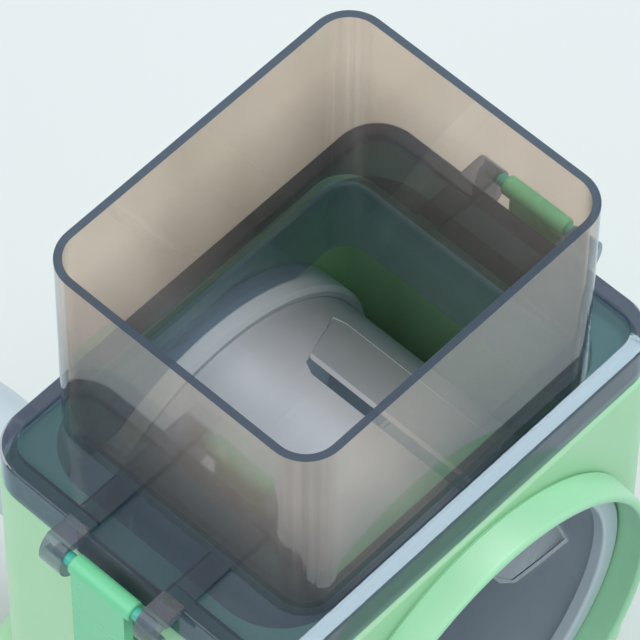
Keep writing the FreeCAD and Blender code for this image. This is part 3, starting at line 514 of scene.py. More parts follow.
# what the lid's looks share, unless a look says otherwise
smokyLook = {"paleZ": 0.172, "deepZ": 0.176, "streakScale": (20, 20, 20), "streakShare": 0.15,
             "hazeRough": 0.4, "mirror": (0.88, 0.95, 1.0), "leastMirror": 0.04, "mirrorPower": 5.0,
             "rough": 0.06, "waveScale": 18.0, "waveDepth": 0.0001}
lidLooks = {
    "plate": {"tint": (0.76, 0.83, 0.90), "deepTint": (0.62, 0.72, 0.80), "paleZ": 0.1655, "deepZ": 0.169,
        "haze": (0.28, 0.33, 0.39), "hazeShare": 0.13},
    # darker plate between the hooks: painted shade of the hopper falling there
    "shaded_between_hooks": {"tint": (0.52, 0.58, 0.68), "deepTint": (0.46, 0.52, 0.62),
        "haze": (0.17, 0.22, 0.28), "hazeShare": 0.14},
    "rim": {"tint": (0.16, 0.20, 0.25), "deepTint": (0.12, 0.15, 0.20), "paleZ": 0.20, "deepZ": 0.23,
        "streakScale": (30, 30, 30), "haze": (0.08, 0.11, 0.15), "hazeShare": 0.45,
        "mirror": (0.85, 0.95, 1.0), "rough": 0.10, "waveScale": 40.0, "waveDepth": 0.00005},
    # the hopper's walls darken towards their foot: painted shade
    "outside": {"tint": (0.91, 0.84, 0.78), "deepTint": (0.50, 0.46, 0.44), "paleZ": 0.216,
        "streakScale": (60, 60, 6), "haze": (0.38, 0.48, 0.56), "hazeShare": 0.05,
        "leastMirror": 0.07, "rough": 0.05, "lineScale": (700, 700, 10), "lineShare": 0.35,
        "lineDepth": 0.0001},
    "inside": {"tint": (0.93, 0.82, 0.72), "deepTint": (0.55, 0.46, 0.38), "paleZ": 0.216,
        "streakScale": (60, 60, 6), "haze": (0.36, 0.37, 0.37), "hazeShare": 0.09,
        "mirror": (1.0, 0.94, 0.87)},
    "border": {"tint": (0.42, 0.44, 0.50), "deepTint": (0.34, 0.36, 0.42), "haze": (0.14, 0.16, 0.20),
        "hazeShare": 0.16, "mirror": (0.70, 0.87, 1.0), "leastMirror": 0.062, "rough": 0.08},
    "skirt": {"tint": (0.92, 0.94, 0.98), "deepTint": (0.36, 0.34, 0.42), "paleZ": 0.1660,
        "deepZ": 0.1685, "streakScale": (20, 20, 90), "haze": (0.20, 0.19, 0.23),
        "hazeShare": 0.22, "mirror": (0.86, 0.90, 1.0), "leastMirror": 0.06, "rough": 0.10},
    # skirt between the hooks: nearly opaque dark slate, a painted shade from the latch and hooks
    "notch": {"tint": (0.40, 0.40, 0.47), "deepTint": (0.32, 0.32, 0.39), "paleZ": 0.164,
        "haze": (0.12, 0.15, 0.18), "hazeShare": 0.82, "mirror": (0.13, 0.14, 0.16), "rough": 0.20},
    "hook": {"tint": (0.70, 0.73, 0.80), "deepTint": (0.58, 0.61, 0.69), "paleZ": 0.164,
        "streakScale": (90, 90, 90), "haze": (0.30, 0.33, 0.37), "hazeShare": 0.22,
        "mirror": (0.90, 0.96, 1.0), "rough": 0.08, "waveScale": 60.0, "waveDepth": 0.00005},
    # pale lines on the rounded edges of hooks, strips and border: painted highlights
    "painted_edge_highlights": {"tint": (0.74, 0.76, 0.80), "deepTint": (0.68, 0.71, 0.75), "paleZ": 0.164,
        "deepZ": 0.178, "streakScale": (90, 90, 90), "haze": (0.66, 0.66, 0.72),
        "hazeShare": 0.45, "mirror": (0.95, 0.97, 1.0), "rough": 0.12, "waveScale": 60.0,
        "waveDepth": 0.00005},
}

plastics = {name: mouldedPlastic(name, {**plasticLook, **look}) for name, look in plasticLooks.items()}
metals = {name: turnedMetal(name, look) for name, look in metalLooks.items()}
smoky = {kind: smokyPlastic("smoky_" + kind, {**smokyLook, **look}) for kind, look in lidLooks.items()}
mint, grey, rubber = plastics["mint_plastic"], plastics["grey_plastic"], softRubber("grey_rubber", rubberLook)
print("materials ready")

finishes = {"green_plastic": mint, "grey_plastic": grey, "white_nylon": plastics["natural_nylon"],
            "shaft_steel": metals["turned_steel"], "drum_steel": metals["drum_steel"],
            "grey_rubber": rubber, "smoky_plastic": smoky["plate"]}

# the CAD pieces that stay get their own finish
for row in frame["record"]["subparts"]:
    paint(frame["nodes"][row["node"]], finishes[row["material_slot"]])


def onLidSide(point):
    # on the outline of the lid's rounded rectangle
    x = max(abs(point.x) - (lid["x"] / 2 - lid["corner"]), 0)
    y = max(abs(point.y - headY) - (lid["y"] / 2 - lid["corner"]), 0)
    return math.hypot(x, y) > lid["corner"] - 2 * hair


def lidPlate():
    deck = lid["deckZ"]
    high = deck + lid["rimHeight"]
    plate = roundedBlock("lid_plate", lid["x"], lid["y"], lid["corner"], deck - lid["skirtDrop"], high)
    pick(plate, "FACE", lambda c, n: n.z > towards)
    bpy.ops.mesh.inset(thickness=lid["rimWidth"])
    extrude((0, 0, -lid["rimHeight"]))
    pick(plate, "FACE", lambda c, n: n.z < -towards)
    bpy.ops.mesh.inset(thickness=lid["skirtWall"])
    extrude((0, 0, lid["skirtDrop"] - lid["plate"]))
    # the border's top slopes outwards and its outer edge is round
    pick(plate, "EDGE", lambda a, b: min(a.z, b.z) > high - hair and onLidSide(a) and onLidSide(b))
    bpy.ops.transform.translate(value=(0, 0, -lid["rimSlope"]))
    bpy.ops.mesh.bevel(offset=lid["rimRound"], segments=4, affect="EDGES")
    setMode("OBJECT")
    # between the hooks the border stops
    edge, half = lid["x"] / 2, lid["hookNear"]
    for side in (-1, 1):
        ends = sorted((side * (edge - lid["rimWidth"] - past), side * (edge + past)))
        notch = block("notch", (ends[0], headY - half, deck), (ends[1], headY + half, high + past))
        cut(plate, notch)
    return plate


def hookSpan(side):
    return sorted((headY + side * lid["hookNear"], headY + side * lid["hookFar"]))


def hookSet():
    hookX = latchPin.x - lid["hookBack"]
    hookZ = latchPin.z - lid["hookDown"]
    deck, edge = lid["deckZ"], lid["x"] / 2
    floor = hookZ - lid["hookRadius"] - past
    over = hookZ + lid["hookRoom"]
    hooks = []
    for side in (-1, 1):
        near, far = hookSpan(side)
        low, high = near - past, far + past
        hook = rod("hook", lid["hookRadius"], (hookX, near, hookZ), (hookX, far, hookZ), 48)
        inner = block("inner", (0, low, floor), (edge - lid["skirtWall"] / 2, high, over))
        under = block("under", (0, low, floor), (edge + lid["hookStep"], high, deck - lid["skirtDrop"]))
        bore = rod("bore", lid["pinBore"], (latchPin.x, low, latchPin.z), (latchPin.x, high, latchPin.z), 32)
        above = block("above", (0, low, deck + lid["rimHeight"]), (edge + lid["hookRoom"], high, over))
        mouth = block("mouth", (edge, low, floor), (latchPin.x, high, latchPin.z + lid["mouthRise"]))
        pick(mouth, "EDGE", lambda a, b: min(a.x, b.x) > edge + past and max(a.z, b.z) < floor + past)
        bpy.ops.transform.translate(value=(hookX + lid["mouthLean"] - latchPin.x, 0, 0))
        setMode("OBJECT")
        hooks.append(cut(hook, inner, under, above, bore, mouth))
    return hooks


def hopperLid():
    deck, wall, inset = lid["deckZ"], lid["wall"], lid["throatInset"]
    sizeX, sizeY, corner = lid["hopperX"], lid["hopperY"], lid["hopperCorner"]
    throatX, throatY, throatCorner = sizeX - 2 * inset, sizeY - 2 * inset, corner - inset
    plate = lidPlate()
    tube = roundedBlock("tube", sizeX, sizeY, corner, deck - past, rimZ)
    throat = roundedBlock("throat", throatX, throatY, throatCorner, lid["throatLow"], deck)
    reach = lid["x"] / 2 - lid["rimWidth"] + lid["stripOverlap"]
    strips = []
    for side in (-1, 1):
        near, far = hookSpan(side)
        strips.append(block("strip", (-reach, near, deck - past), (reach, far, deck + lid["stripHeight"])))
    right = hookSet()
    left = [mirroredX(h, "hook_left") for h in right]
    join(plate, tube, throat, *strips, *right, *left)
    inside = roundedBlock("inside", sizeX - 2 * wall, sizeY - 2 * wall, corner - wall, deck, rimZ + past)
    narrow = roundedBlock("narrow", throatX - 2 * wall, throatY - 2 * wall, throatCorner - wall,
                          lid["throatLow"] - past, deck + past / 2)
    half = lid["saddleHalf"]
    saddle = axisRod("saddle", lid["saddle"], headY - half, headY + half, 160)
    cut(plate, inside, narrow, saddle)
    mergePoints(plate)
    softenEdges(plate, lid["edgeSoft"])
    return plate


def lidKind(c, n):
    # which look a face gets, from its centre and normal
    x, y = abs(c.x), abs(c.y - headY)
    sideX, sideY = lid["x"] / 2, lid["y"] / 2
    inHopper = x < lid["hopperX"] / 2 + 2 * hair and y < lid["hopperY"] / 2 + 2 * hair
    wall = abs(n.z) < lid["wallSlope"]
    if c.z > rimZ - lid["rimBand"]:
        return "rim"
    if inHopper and wall and c.z > lid["deckZ"] + past:
        return "outside" if n.x * c.x + n.y * (c.y - headY) > 0 else "inside"
    # the hooks' rounded edges get the pale look, a painted highlight
    if x > sideX + hair and y < lid["hookFar"] + hair:
        return "painted_edge_highlights" if lid["softLow"] < abs(n.y) < lid["softHigh"] else "hook"
    if wall and onLidSide(c):
        if abs(n.x) < towards:
            return "skirt"
        # the side between the hooks gets the dark notch look, a painted shade
        return "notch" if y < lid["darkHalf"] else "border"
    if c.z > lid["deckZ"] + 2 * hair and not inHopper:
        outerEdge = x > sideX - lid["rimRound"] - hair or y > sideY - lid["rimRound"] - hair
        soft = lid["softLow"] < n.z < lid["softHigh"]
        return "painted_edge_highlights" if soft and not outerEdge else "border"
    # the plate's top between the hooks gets the darker look, a painted shade
    betweenHooks = y < lid["hookNear"] + hair and x > lid["hopperX"] / 2 and n.z > towards
    return "shaded_between_hooks" if betweenHooks else "plate"


def paintLid(piece):
    # the lid's long sides are split under the hooks, so that the part between them gets its own dark look, a
    # painted shade
    for side in (-1, 1):
        pick(piece, "FACE", lambda c, n: abs(n.x) > towards and onLidSide(c))
        bpy.ops.mesh.bisect(plane_co=(0, headY + side * lid["darkHalf"], 0), plane_no=(0, 1, 0))
        setMode("OBJECT")
    paint(piece, *smoky.values())
    kinds = list(smoky)
    for face in piece.data.polygons:
        face.material_index = kinds.index(lidKind(face.center, face.normal))


hopper = hopperLid()
paintLid(hopper)
finishPiece(hopper, "lid", ["hopper_lid"])


# housing: a box with an open front, a neck under the lid and a boss at the rear
housing = {
    "x": 0.1186, "y": 0.0846, "corner": 0.0105, "wall": 0.0026, "shoulderZ": 0.1651, "shoulderRound": 0.001,
    "neckInset": 0.0023, "neckCorner": 0.0079, "neckWall": 0.002, "neckRound": 0.0006, "topPlate": 0.0025,
    "cavityX": 0.102, "cavityY": 0.073, "cavityCorner": 0.0155, "frontBore": 0.0484,
    "bossRadius": 0.015, "bossEnd": 0.044, "bushBore": 0.009,
    "screwX": 0.036, "screwY": 0.016, "screwBoss": 0.0045, "screwBossTop": 0.069, "screwBore": 0.002,
    "screwRoof": 0.003, "keeperLow": 0.1365, "keeperTip": 0.0629, "keeperNose": 0.0014,
    "keeperHeight": 0.0036, "keeperHalf": 0.008, "edgeSoft": 0.0003,
}


def screwPlaces():
    return [(sideX * housing["screwX"], headY + sideY * housing["screwY"]) for sideX in (-1, 1)
            for sideY in (-1, 1)]


def keepers():
    low, tip = housing["keeperLow"], housing["keeperTip"]
    root = housing["x"] / 2 - housing["wall"] / 2
    profile = [(root, low), (tip, low), (tip, low + housing["keeperNose"]),
               (root, low + housing["keeperHeight"])]
    y = headY - housing["keeperHalf"]
    return [outlinePrism("keeper", [(side * x, y, z) for x, z in profile], (0, 2 * housing["keeperHalf"], 0))
            for side in (-1, 1)]


def mainHousing():
    wall, shoulder = housing["wall"], housing["shoulderZ"]
    rearY = headY + housing["y"] / 2
    neckX = lid["x"] - 2 * housing["neckInset"]
    neckY = lid["y"] - 2 * housing["neckInset"]
    body = roundedBlock("housing", housing["x"], housing["y"], housing["corner"], standTopZ, shoulder)
    bevelAbove(body, shoulder, housing["shoulderRound"], 3)
    neck = roundedBlock("neck", neckX, neckY, housing["neckCorner"], shoulder - wall, neckTopZ)
    bevelAbove(neck, neckTopZ, housing["neckRound"], 2)
    bossEnd = housing["bossEnd"]
    boss = axisRod("boss", housing["bossRadius"], rearY - wall, bossEnd, 96)
    bevelEdges(boss, lambda a, b: min(a.y, b.y) > bossEnd - hair, housing["shoulderRound"], 3)
    join(body, neck, boss, *keepers())
    hollow = roundedBlock("hollow", housing["x"] - 2 * wall, housing["y"] - 2 * wall,
                          housing["corner"] - wall, standTopZ + wall, shoulder - wall)
    neckIn = housing["neckWall"]
    upper = roundedBlock("upper", neckX - 2 * neckIn, neckY - 2 * neckIn, housing["neckCorner"] - neckIn,
                         shoulder - wall - past, neckTopZ - housing["topPlate"])
    cavity = roundedBlock("cavity", housing["cavityX"], housing["cavityY"], housing["cavityCorner"],
                          shoulder - wall - past / 2, neckTopZ + past, segments=20)
    mouth = axisRod("mouth", housing["frontBore"], frontY - past, frontY + wall + past, 160)
    bush = axisRod("bush", housing["bushBore"], rearY - wall - past, bossEnd + past, 64)
    cut(body, hollow, upper, cavity, mouth, bush)
    top = housing["screwBossTop"]
    boreTop = top - housing["screwRoof"]
    for x, y in screwPlaces():
        join(body, uprightRod("post", housing["screwBoss"], x, y, standTopZ + wall / 2, top, 32))
        cut(body, uprightRod("bore", housing["screwBore"], x, y, standTopZ - past, boreTop))
    mergePoints(body)
    softenEdges(body, housing["edgeSoft"])
    paint(body, mint)
    return body


finishPiece(mainHousing(), "root", ["main_housing"])


# collar and drum rings, turned about the drum's axis
collar = {"bore": 0.0468, "wall": 0.0029, "taper": 0.0006, "round": 0.0011, "grooveWide": 0.0005,
          "grooveDeep": 0.0006, "grooveEdge": 0.0002, "spigot": 0.0015, "spigotLong": 0.0026}
ring = {"inner": 0.0417, "outer": 0.0464, "sleeveInner": 0.0441, "faceY": -0.0514, "flange": 0.003,
        "sleeve": 0.0048, "round": 0.0008, "rearEdge": 0.0003}
fineSteps = 192  # sides of the large circles
drumCentre = (0, 0, drumAxisZ)


def frontCollar():
    bore, size = collar["bore"], collar["round"]
    spigot, spigotEnd = bore + collar["spigot"], frontY + collar["spigotLong"]
    outer = bore + collar["wall"]
    floor = outer - collar["grooveDeep"]
    groove = frontY - collar["grooveWide"]
    edge = collar["grooveEdge"]
    stations = [(bore, spigotEnd), (spigot, spigotEnd), (spigot, frontY), (floor, frontY), (floor, groove),
                (outer - edge, groove), (outer, groove - edge)]
    stations += arc(outer - collar["taper"] - size, lipY + size, size, 0, -90, 6)
    stations += arc(bore + size, lipY + size, size, -90, -180, 6)
    piece = turned("collar", stations, drumCentre, steps=fineSteps)
    paint(piece, plastics["collar_mint_plastic"])
    return piece


def frontRing():
    inner, outer, sleeveInner = ring["inner"], ring["outer"], ring["sleeveInner"]
    size, face, edge = ring["round"], ring["faceY"], ring["rearEdge"]
    flangeEnd = face + ring["flange"]
    sleeveEnd = flangeEnd + ring["sleeve"]
    stations = arc(inner + size, face + size, size, -180, -90, 4)
    stations += arc(outer - size, face + size, size, -90, 0, 4)
    stations += [(outer, sleeveEnd - edge), (outer - edge, sleeveEnd), (sleeveInner, sleeveEnd),
                 (sleeveInner, flangeEnd), (inner, flangeEnd)]
    piece = turned("front_ring", stations, drumCentre, steps=fineSteps)
    paint(piece, grey)
    return piece


finishPiece(frontCollar(), "root", ["front_collar"])
finishPiece(frontRing(), "drum", ["drum_front_ring"])


# drum sheet with four windows, a raised blade over each and a folded lip round each
sheet = {
    "radius": 0.044, "thick": 0.0006, "start": -0.0483, "end": 0.0279, "windows": 4, "angle": -26.0,
    "half": 0.009, "corner": 0.0016, "cornerRun": 0.003, "slant": 0.0074, "front": -0.0414, "back": 0.0159,
    "rise": 0.0019, "slot": 0.0024, "root": 0.0006, "bevel": 0.0012, "endGap": 0.0003,
    "lipWide": 0.0008, "lipHigh": 0.0004, "lipEnd": 0.005, "cutSlope": 0.3, "smooth": 12,
}


def windowOutline(endGrow, sideGrow=0):
    # corners as (distance round the sheet, place along it), with slanting ends
    front = sheet["front"] - endGrow
    back = sheet["back"] + endGrow
    half = sheet["half"]
    wide = half + sheet["corner"] + sideGrow
    slant, run = sheet["slant"], sheet["cornerRun"]
    return [(-wide, front + slant + run), (-half, front + slant), (half, front), (wide, front + run),
            (wide, back - slant - run), (half, back - slant), (-half, back), (-wide, back - run)]


def windowAxes(number):
    turn = math.radians(sheet["angle"] + 360.0 * number / sheet["windows"])
    return Vector((math.cos(turn), 0, math.sin(turn))), Vector((-math.sin(turn), 0, math.cos(turn)))


def windowPrism(number, corners, low, high):
    out, along = windowAxes(number)
    base = Vector((0, 0, drumAxisZ)) + out * low
    points = [base + along * u + Vector((0, y, 0)) for u, y in corners]
    return outlinePrism("window", points, out * (high - low))


def bladeRamp(number):
    # level with the sheet at its root and raised at its edge
    out, along = windowAxes(number)
    radius = sheet["radius"]
    half = sheet["thick"] / 2
    top = radius + sheet["rise"]
    rootU = -sheet["half"] - sheet["corner"] - sheet["root"]
    edgeU = sheet["half"] + sheet["corner"] - sheet["slot"]
    tipU = edgeU + sheet["bevel"]
    rootW = math.sqrt((radius - half) ** 2 - rootU ** 2)
    edgeW = math.sqrt((top - half) ** 2 - edgeU ** 2)
    tipW = math.sqrt(top ** 2 - tipU ** 2) - half / 2
    section = [(rootU, rootW - half), (edgeU, edgeW - half), (tipU, tipW - half / 4), (tipU, tipW),
               (edgeU, edgeW + half), (rootU, rootW + half)]
    start = Vector((0, sheet["front"], drumAxisZ))
    blade = outlinePrism("blade", [start + out * w + along * u for u, w in section],
                         (0, sheet["end"] - sheet["front"], 0))
    corners = windowOutline(-sheet["endGap"] - sheet["lipWide"])
    for corner in (0, -1):
        corners[corner] = (rootU - past, corners[corner][1])
    return combine(blade, "INTERSECT", windowPrism(number, corners, radius / 4, top + past))


def openTube(name, inner, outer, start, end):
    stations = [(inner, start), (outer, start), (outer, end), (inner, end)]
    return turned(name, stations, drumCentre, steps=fineSteps)


def drumSheet():
    radius, thick, start, end = sheet["radius"], sheet["thick"], sheet["start"], sheet["end"]
    piece = openTube("sheet", radius - thick, radius, start, end)
    numbers = range(sheet["windows"])
    low, high, wide = radius / 2, radius + sheet["rise"], sheet["lipWide"]
    for number in numbers:
        lip = openTube("lip", radius - thick - sheet["lipHigh"], radius - thick / 2,
                       start + sheet["lipEnd"], end - sheet["lipEnd"])
        combine(lip, "INTERSECT", windowPrism(number, windowOutline(0, wide), low, high))
        join(piece, lip)
    cut(piece, *[windowPrism(n, windowOutline(-wide), low, high) for n in numbers])
    join(piece, *[bladeRamp(n) for n in numbers])
    mergePoints(piece, fineMerge)
    return piece


def paintSheet(piece):
    # the lips and the cut edges get a pale, hardly metallic steel: a painted highlight where they catch the light
    paint(piece, metals["drum_steel"], metals["drum_edge_highlight_steel"])
    inside = sheet["radius"] - sheet["thick"] - hair
    for face in piece.data.polygons:
        y = face.center.y
        place = Vector((face.center.x, 0, face.center.z - drumAxisZ))
        radial = abs(face.normal.dot(place.normalized()))
        lip = place.length < inside and sheet["start"] + past < y < sheet["end"] - past
        edge = radial < sheet["cutSlope"] and sheet["front"] - past < y < sheet["back"] + past
        face.material_index = 1 if (lip or edge) and place.length < sheet["radius"] + 2 * hair else 0


drum = drumSheet()
paintSheet(drum)
finishPiece(drum, "drum", ["drum_sheet"], sheet["smooth"])


# latches: barrel, pins, flap with a rolled grip, and the catch
latch = {"barrel": 0.00235, "half": 0.0086, "flapInset": 0.0011, "round": 0.0006, "pin": 0.0015,
         "pinEnd": 0.0136, "pinRound": 0.0003, "flapThick": 0.0025, "flapLong": 0.042, "flapCorner": 0.003,
         "grip": 0.002, "catchReach": 0.003, "catchHigh": 0.0034, "catchHalf": 0.0072, "edgeSoft": 0.00035}


def rightLatch():
    x, y, z = latchPin
    thick, size, reach, rise = latch["flapThick"], latch["grip"], latch["catchReach"], latch["catchHigh"]
    inner = x + latch["barrel"] - thick
    outer = inner + thick
    low = z - latch["flapLong"]
    flapHalf = latch["half"] - latch["flapInset"]
    flap = block("latch", (inner, y - flapHalf, low), (outer, y + flapHalf, z))
    bevelEdges(flap, lambda a, b: max(a.z, b.z) < low + hair and abs(a.x - b.x) > past,
               latch["flapCorner"], 6)

    def crosswise(name, radius, half, atX, atZ, sides, edge, segments):
        piece = rod(name, radius, (atX, y - half, atZ), (atX, y + half, atZ), sides)
        bevelEnds(piece, edge, segments)
        return piece

    barrel = crosswise("barrel", latch["barrel"], latch["half"], x, z, 48, latch["round"], 3)
    pins = crosswise("pins", latch["pin"], latch["pinEnd"], x, z, 32, latch["pinRound"], 2)
    gripZ, gripHalf = low + size, flapHalf - latch["flapCorner"]
    grip = crosswise("grip", size, gripHalf, outer - size / 2, gripZ, 40, latch["round"], 3)
    top = gripZ + rise
    tip = inner - reach
    root = inner + thick / 2
    profile = [(tip, top), (root, top), (root, top - rise - reach / 2), (tip, top - rise / 2)]
    catch = outlinePrism("catch", [(px, y - latch["catchHalf"], pz) for px, pz in profile],
                         (0, 2 * latch["catchHalf"], 0))
    join(flap, barrel, pins, grip, catch)
    mergePoints(flap, fineMerge)
    softenEdges(flap, latch["edgeSoft"], 3)
    paint(flap, plastics["fresh_mint_plastic"], plastics["pin_shade_mint_plastic"])
    # the pins beyond the barrel get the darker teal copy, a painted shade
    for face in flap.data.polygons:
        face.material_index = 1 if abs(face.center.y - headY) > latch["half"] + hair else 0
    return flap


latchRight = rightLatch()
latchRight.name = "latch_on_the_right"
latchLeft = mirroredX(latchRight, "latch_on_the_left")
finishPiece(latchRight, "latch_right", ["right_latch"])
finishPiece(latchLeft, "latch_left", ["left_latch"])


# stand: a waisted column that flares into the round base and up to the housing
stand = {
    "radius": 0.0775, "side": 0.0115, "shoulder": 0.005, "crown": 0.0025, "wall": 0.003, "foot": 0.003,
    "crownStart": 0.030, "waistZ": 0.038, "waistX": 0.095, "waistY": 0.068, "waistCorner": 0.019,
    "flareZ": 0.014, "flareX": 0.128, "flareY": 0.116, "flareCorner": 0.048, "steps": 14, "quarter": 12,
    "windowInner": 0.070, "windowOuter": 0.079, "windowLow": 0.0072, "windowHigh": 0.0117,
    "windowHalf": 46.67, "windowSteps": 12,
    "plateRadius": 0.062, "plateAngles": (60.0, 120.0, 240.0, 300.0), "plateBoss": 0.0045, "plateTop": 0.0075,
    "plateBore": 0.0015, "plateBoreHigh": 0.006, "screwBore": 0.0021, "edgeSoft": 0.0004,
}


def roundedOutline(xSize, ySize, corner, yCentre, z):
    points = []
    count = stand["quarter"]
    for quarter, (sideX, sideY) in enumerate([(1, 1), (-1, 1), (-1, -1), (1, -1)]):
        middleX = sideX * (xSize / 2 - corner)
        middleY = yCentre + sideY * (ySize / 2 - corner)
        for step in range(count + 1):
            turn = math.pi / 2 * (quarter + step / count)
            points.append(Vector((middleX + corner * math.cos(turn), middleY + corner * math.sin(turn), z)))
    return points


def columnOutline(z, inset):
    if z < stand["waistZ"]:
        t = ((stand["waistZ"] - z) / (stand["waistZ"] - stand["flareZ"])) ** 2
        ends = (stand["flareX"], stand["flareY"], stand["flareCorner"], 0.0)
    else:
        t = ((z - stand["waistZ"]) / (standTopZ - stand["waistZ"])) ** 2
        ends = (housing["x"], housing["y"], housing["corner"], headY)
    waist = (stand["waistX"], stand["waistY"], stand["waistCorner"], 0.0)
    xSize, ySize, corner, yCentre = [a + (b - a) * t for a, b in zip(waist, ends)]
    return roundedOutline(xSize - 2 * inset, ySize - 2 * inset, corner - inset, yCentre, z)


def column(name, zHigh, inset):
    heights = []
    for low, high in ((stand["flareZ"], stand["waistZ"]), (stand["waistZ"], zHigh)):
        heights += [low + (high - low) * i / stand["steps"] for i in range(stand["steps"])]
    return lofted(name, [columnOutline(z, inset) for z in heights + [zHigh]])


def dome(name, inset, low):
    radius = stand["radius"] - inset
    size = stand["shoulder"] - inset
    start = stand["crownStart"]
    rise = stand["crown"] * (1 - start / (radius - size))
    stations = [(radius, low)] + arc(radius - size, stand["side"], size, 0, 90, 8)
    stations += [(start, stand["side"] + size + rise)]
    return turned(name, stations, (0, 0, 0), along="Z", steps=fineSteps, closed=False)


def leverWindow():
    points = []
    count = stand["windowSteps"]
    for radius, steps in ((stand["windowInner"], range(count + 1)),
                          (stand["windowOuter"], range(count, -1, -1))):
        for step in steps:
            turn = math.radians(stand["windowHalf"] * (2 * step / count - 1))
            points.append((radius * math.cos(turn), radius * math.sin(turn), stand["windowLow"]))
    return outlinePrism("lever_window", points, (0, 0, stand["windowHigh"] - stand["windowLow"]))


def baseStand():
    wall, foot, plateTop = stand["wall"], stand["foot"], stand["plateTop"]
    body = dome("stand", 0, foot)
    join(body, column("column", standTopZ, 0))
    cut(body, dome("hollow", wall, foot - past), column("hollow", standTopZ - wall, wall))
    ceiling = stand["side"] + stand["shoulder"] - wall / 2
    for angle in stand["plateAngles"]:
        turn = math.radians(angle)
        x, y = stand["plateRadius"] * math.cos(turn), stand["plateRadius"] * math.sin(turn)
        join(body, uprightRod("post", stand["plateBoss"], x, y, plateTop, ceiling, 32))
        cut(body, uprightRod("bore", stand["plateBore"], x, y, plateTop - past,
                             plateTop + stand["plateBoreHigh"]))
    for x, y in screwPlaces():
        cut(body, uprightRod("bore", stand["screwBore"], x, y, standTopZ - wall - past, standTopZ + past))
    cut(body, leverWindow())
    mergePoints(body, fineMerge)
    softenEdges(body, stand["edgeSoft"], angle=50)
    paint(body, mint)
    return body


finishPiece(baseStand(), "root", ["base_stand"], 40)


# knob on the crank
knob = {"profile": [(0.0, 0.0085), (0.009, 0.0105), (0.026, 0.0116), (0.043, 0.0125), (0.0556, 0.0110)],
        "frontY": 0.058, "long": 0.058, "endRound": 0.0024, "capSeat": 0.0081, "cap": 0.0024,
        "pocket": 0.0064, "pocketFloor": 0.1107, "bore": 0.0031, "steps": 8}


def smoothProfile(rows, steps):
    # a smooth line through the rows, as (radius, place)
    points = []
    last = len(rows) - 1
    for i in range(last):
        before, start, end, after = [rows[min(max(i + k, 0), last)] for k in (-1, 0, 1, 2)]
        span = end[0] - start[0]
        slopeIn = (end[1] - before[1]) / (end[0] - before[0])
        slopeOut = (after[1] - start[1]) / (after[0] - start[0])
        for k in range(steps):
            t = k / steps
            radius = (2 * t ** 3 - 3 * t ** 2 + 1) * start[1] + (t ** 3 - 2 * t ** 2 + t) * span * slopeIn
            radius += (3 * t ** 2 - 2 * t ** 3) * end[1] + (t ** 3 - t ** 2) * span * slopeOut
            points.append((radius, start[0] + span * t))
    return points + [(rows[-1][1], rows[-1][0])]


def knobGrip():
    front = knob["frontY"]
    rear = front + knob["long"]
    size, seat, bore, pocket = knob["endRound"], knob["capSeat"], knob["bore"], knob["pocket"]
    seatY, floorY = rear - knob["cap"], knob["pocketFloor"]
    endRadius = knob["profile"][-1][1]
    stations = [(radius, front + place) for radius, place in smoothProfile(knob["profile"], knob["steps"])]
    stations += arc(endRadius - size, rear - size, size, 0, 90, 6)[1:]
    stations += [(seat, rear), (seat, seatY), (pocket, seatY), (pocket, floorY), (bore, floorY),
                 (bore, front)]
    piece = turned("knob", stations, (0, 0, knobAxisZ))
    paint(piece, grey)
    return piece


finishPiece(knobGrip(), "knob", ["knob_grip"])


# suction cup: its edge stays on the table while the stem draws its middle up
cup = {"pad": 0.020, "relief": 0.0009, "reliefSlope": 0.003, "reliefEnd": 0.056, "radius": 0.064,
       "edge": 0.0012, "slopeRadius": 0.0106, "slopeZ": 0.0026, "slopeSteps": 6, "boss": 0.0076,
       "bossTop": 0.0072, "neck": 0.0043, "pocket": 0.0063, "pocketLow": 0.0027, "pocketHigh": 0.0053,
       "middle": 0.0004, "stretchLow": 0.001, "edgeSoft": 0.0002}


def suctionCup():
    middle, radius, edge = cup["middle"], cup["radius"], cup["edge"]
    slopeRadius, slopeZ = cup["slopeRadius"], cup["slopeZ"]
    boss, bossTop, neck = cup["boss"], cup["bossTop"], cup["neck"]
    pocket, low, high = cup["pocket"], cup["pocketLow"], cup["pocketHigh"]
    pad, slope, end = cup["pad"], cup["reliefSlope"], cup["reliefEnd"]
    stations = [(middle, 0), (pad, 0), (pad + slope, cup["relief"]), (end - slope, cup["relief"]), (end, 0),
                (radius, 0), (radius, edge)]
    steps = cup["slopeSteps"]
    for i in range(1, steps + 1):
        stations.append((radius + (slopeRadius - radius) * i / steps, edge + (slopeZ - edge) * i / steps))
    stations += [(boss, slopeZ), (boss, bossTop), (neck, bossTop), (neck, high), (pocket, high),
                 (pocket, low), (middle, low)]
    piece = turned("rubber_cup", stations, (0, 0, 0), along="Z", steps=128, closed=False)
    softenEdges(piece, cup["edgeSoft"], angle=30)
    smoothShade(piece)
    paint(piece, rubber)
    return piece


rubberCup = suctionCup()
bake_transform(rubberCup)
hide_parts("suction_cup")
print("suction cup ready")


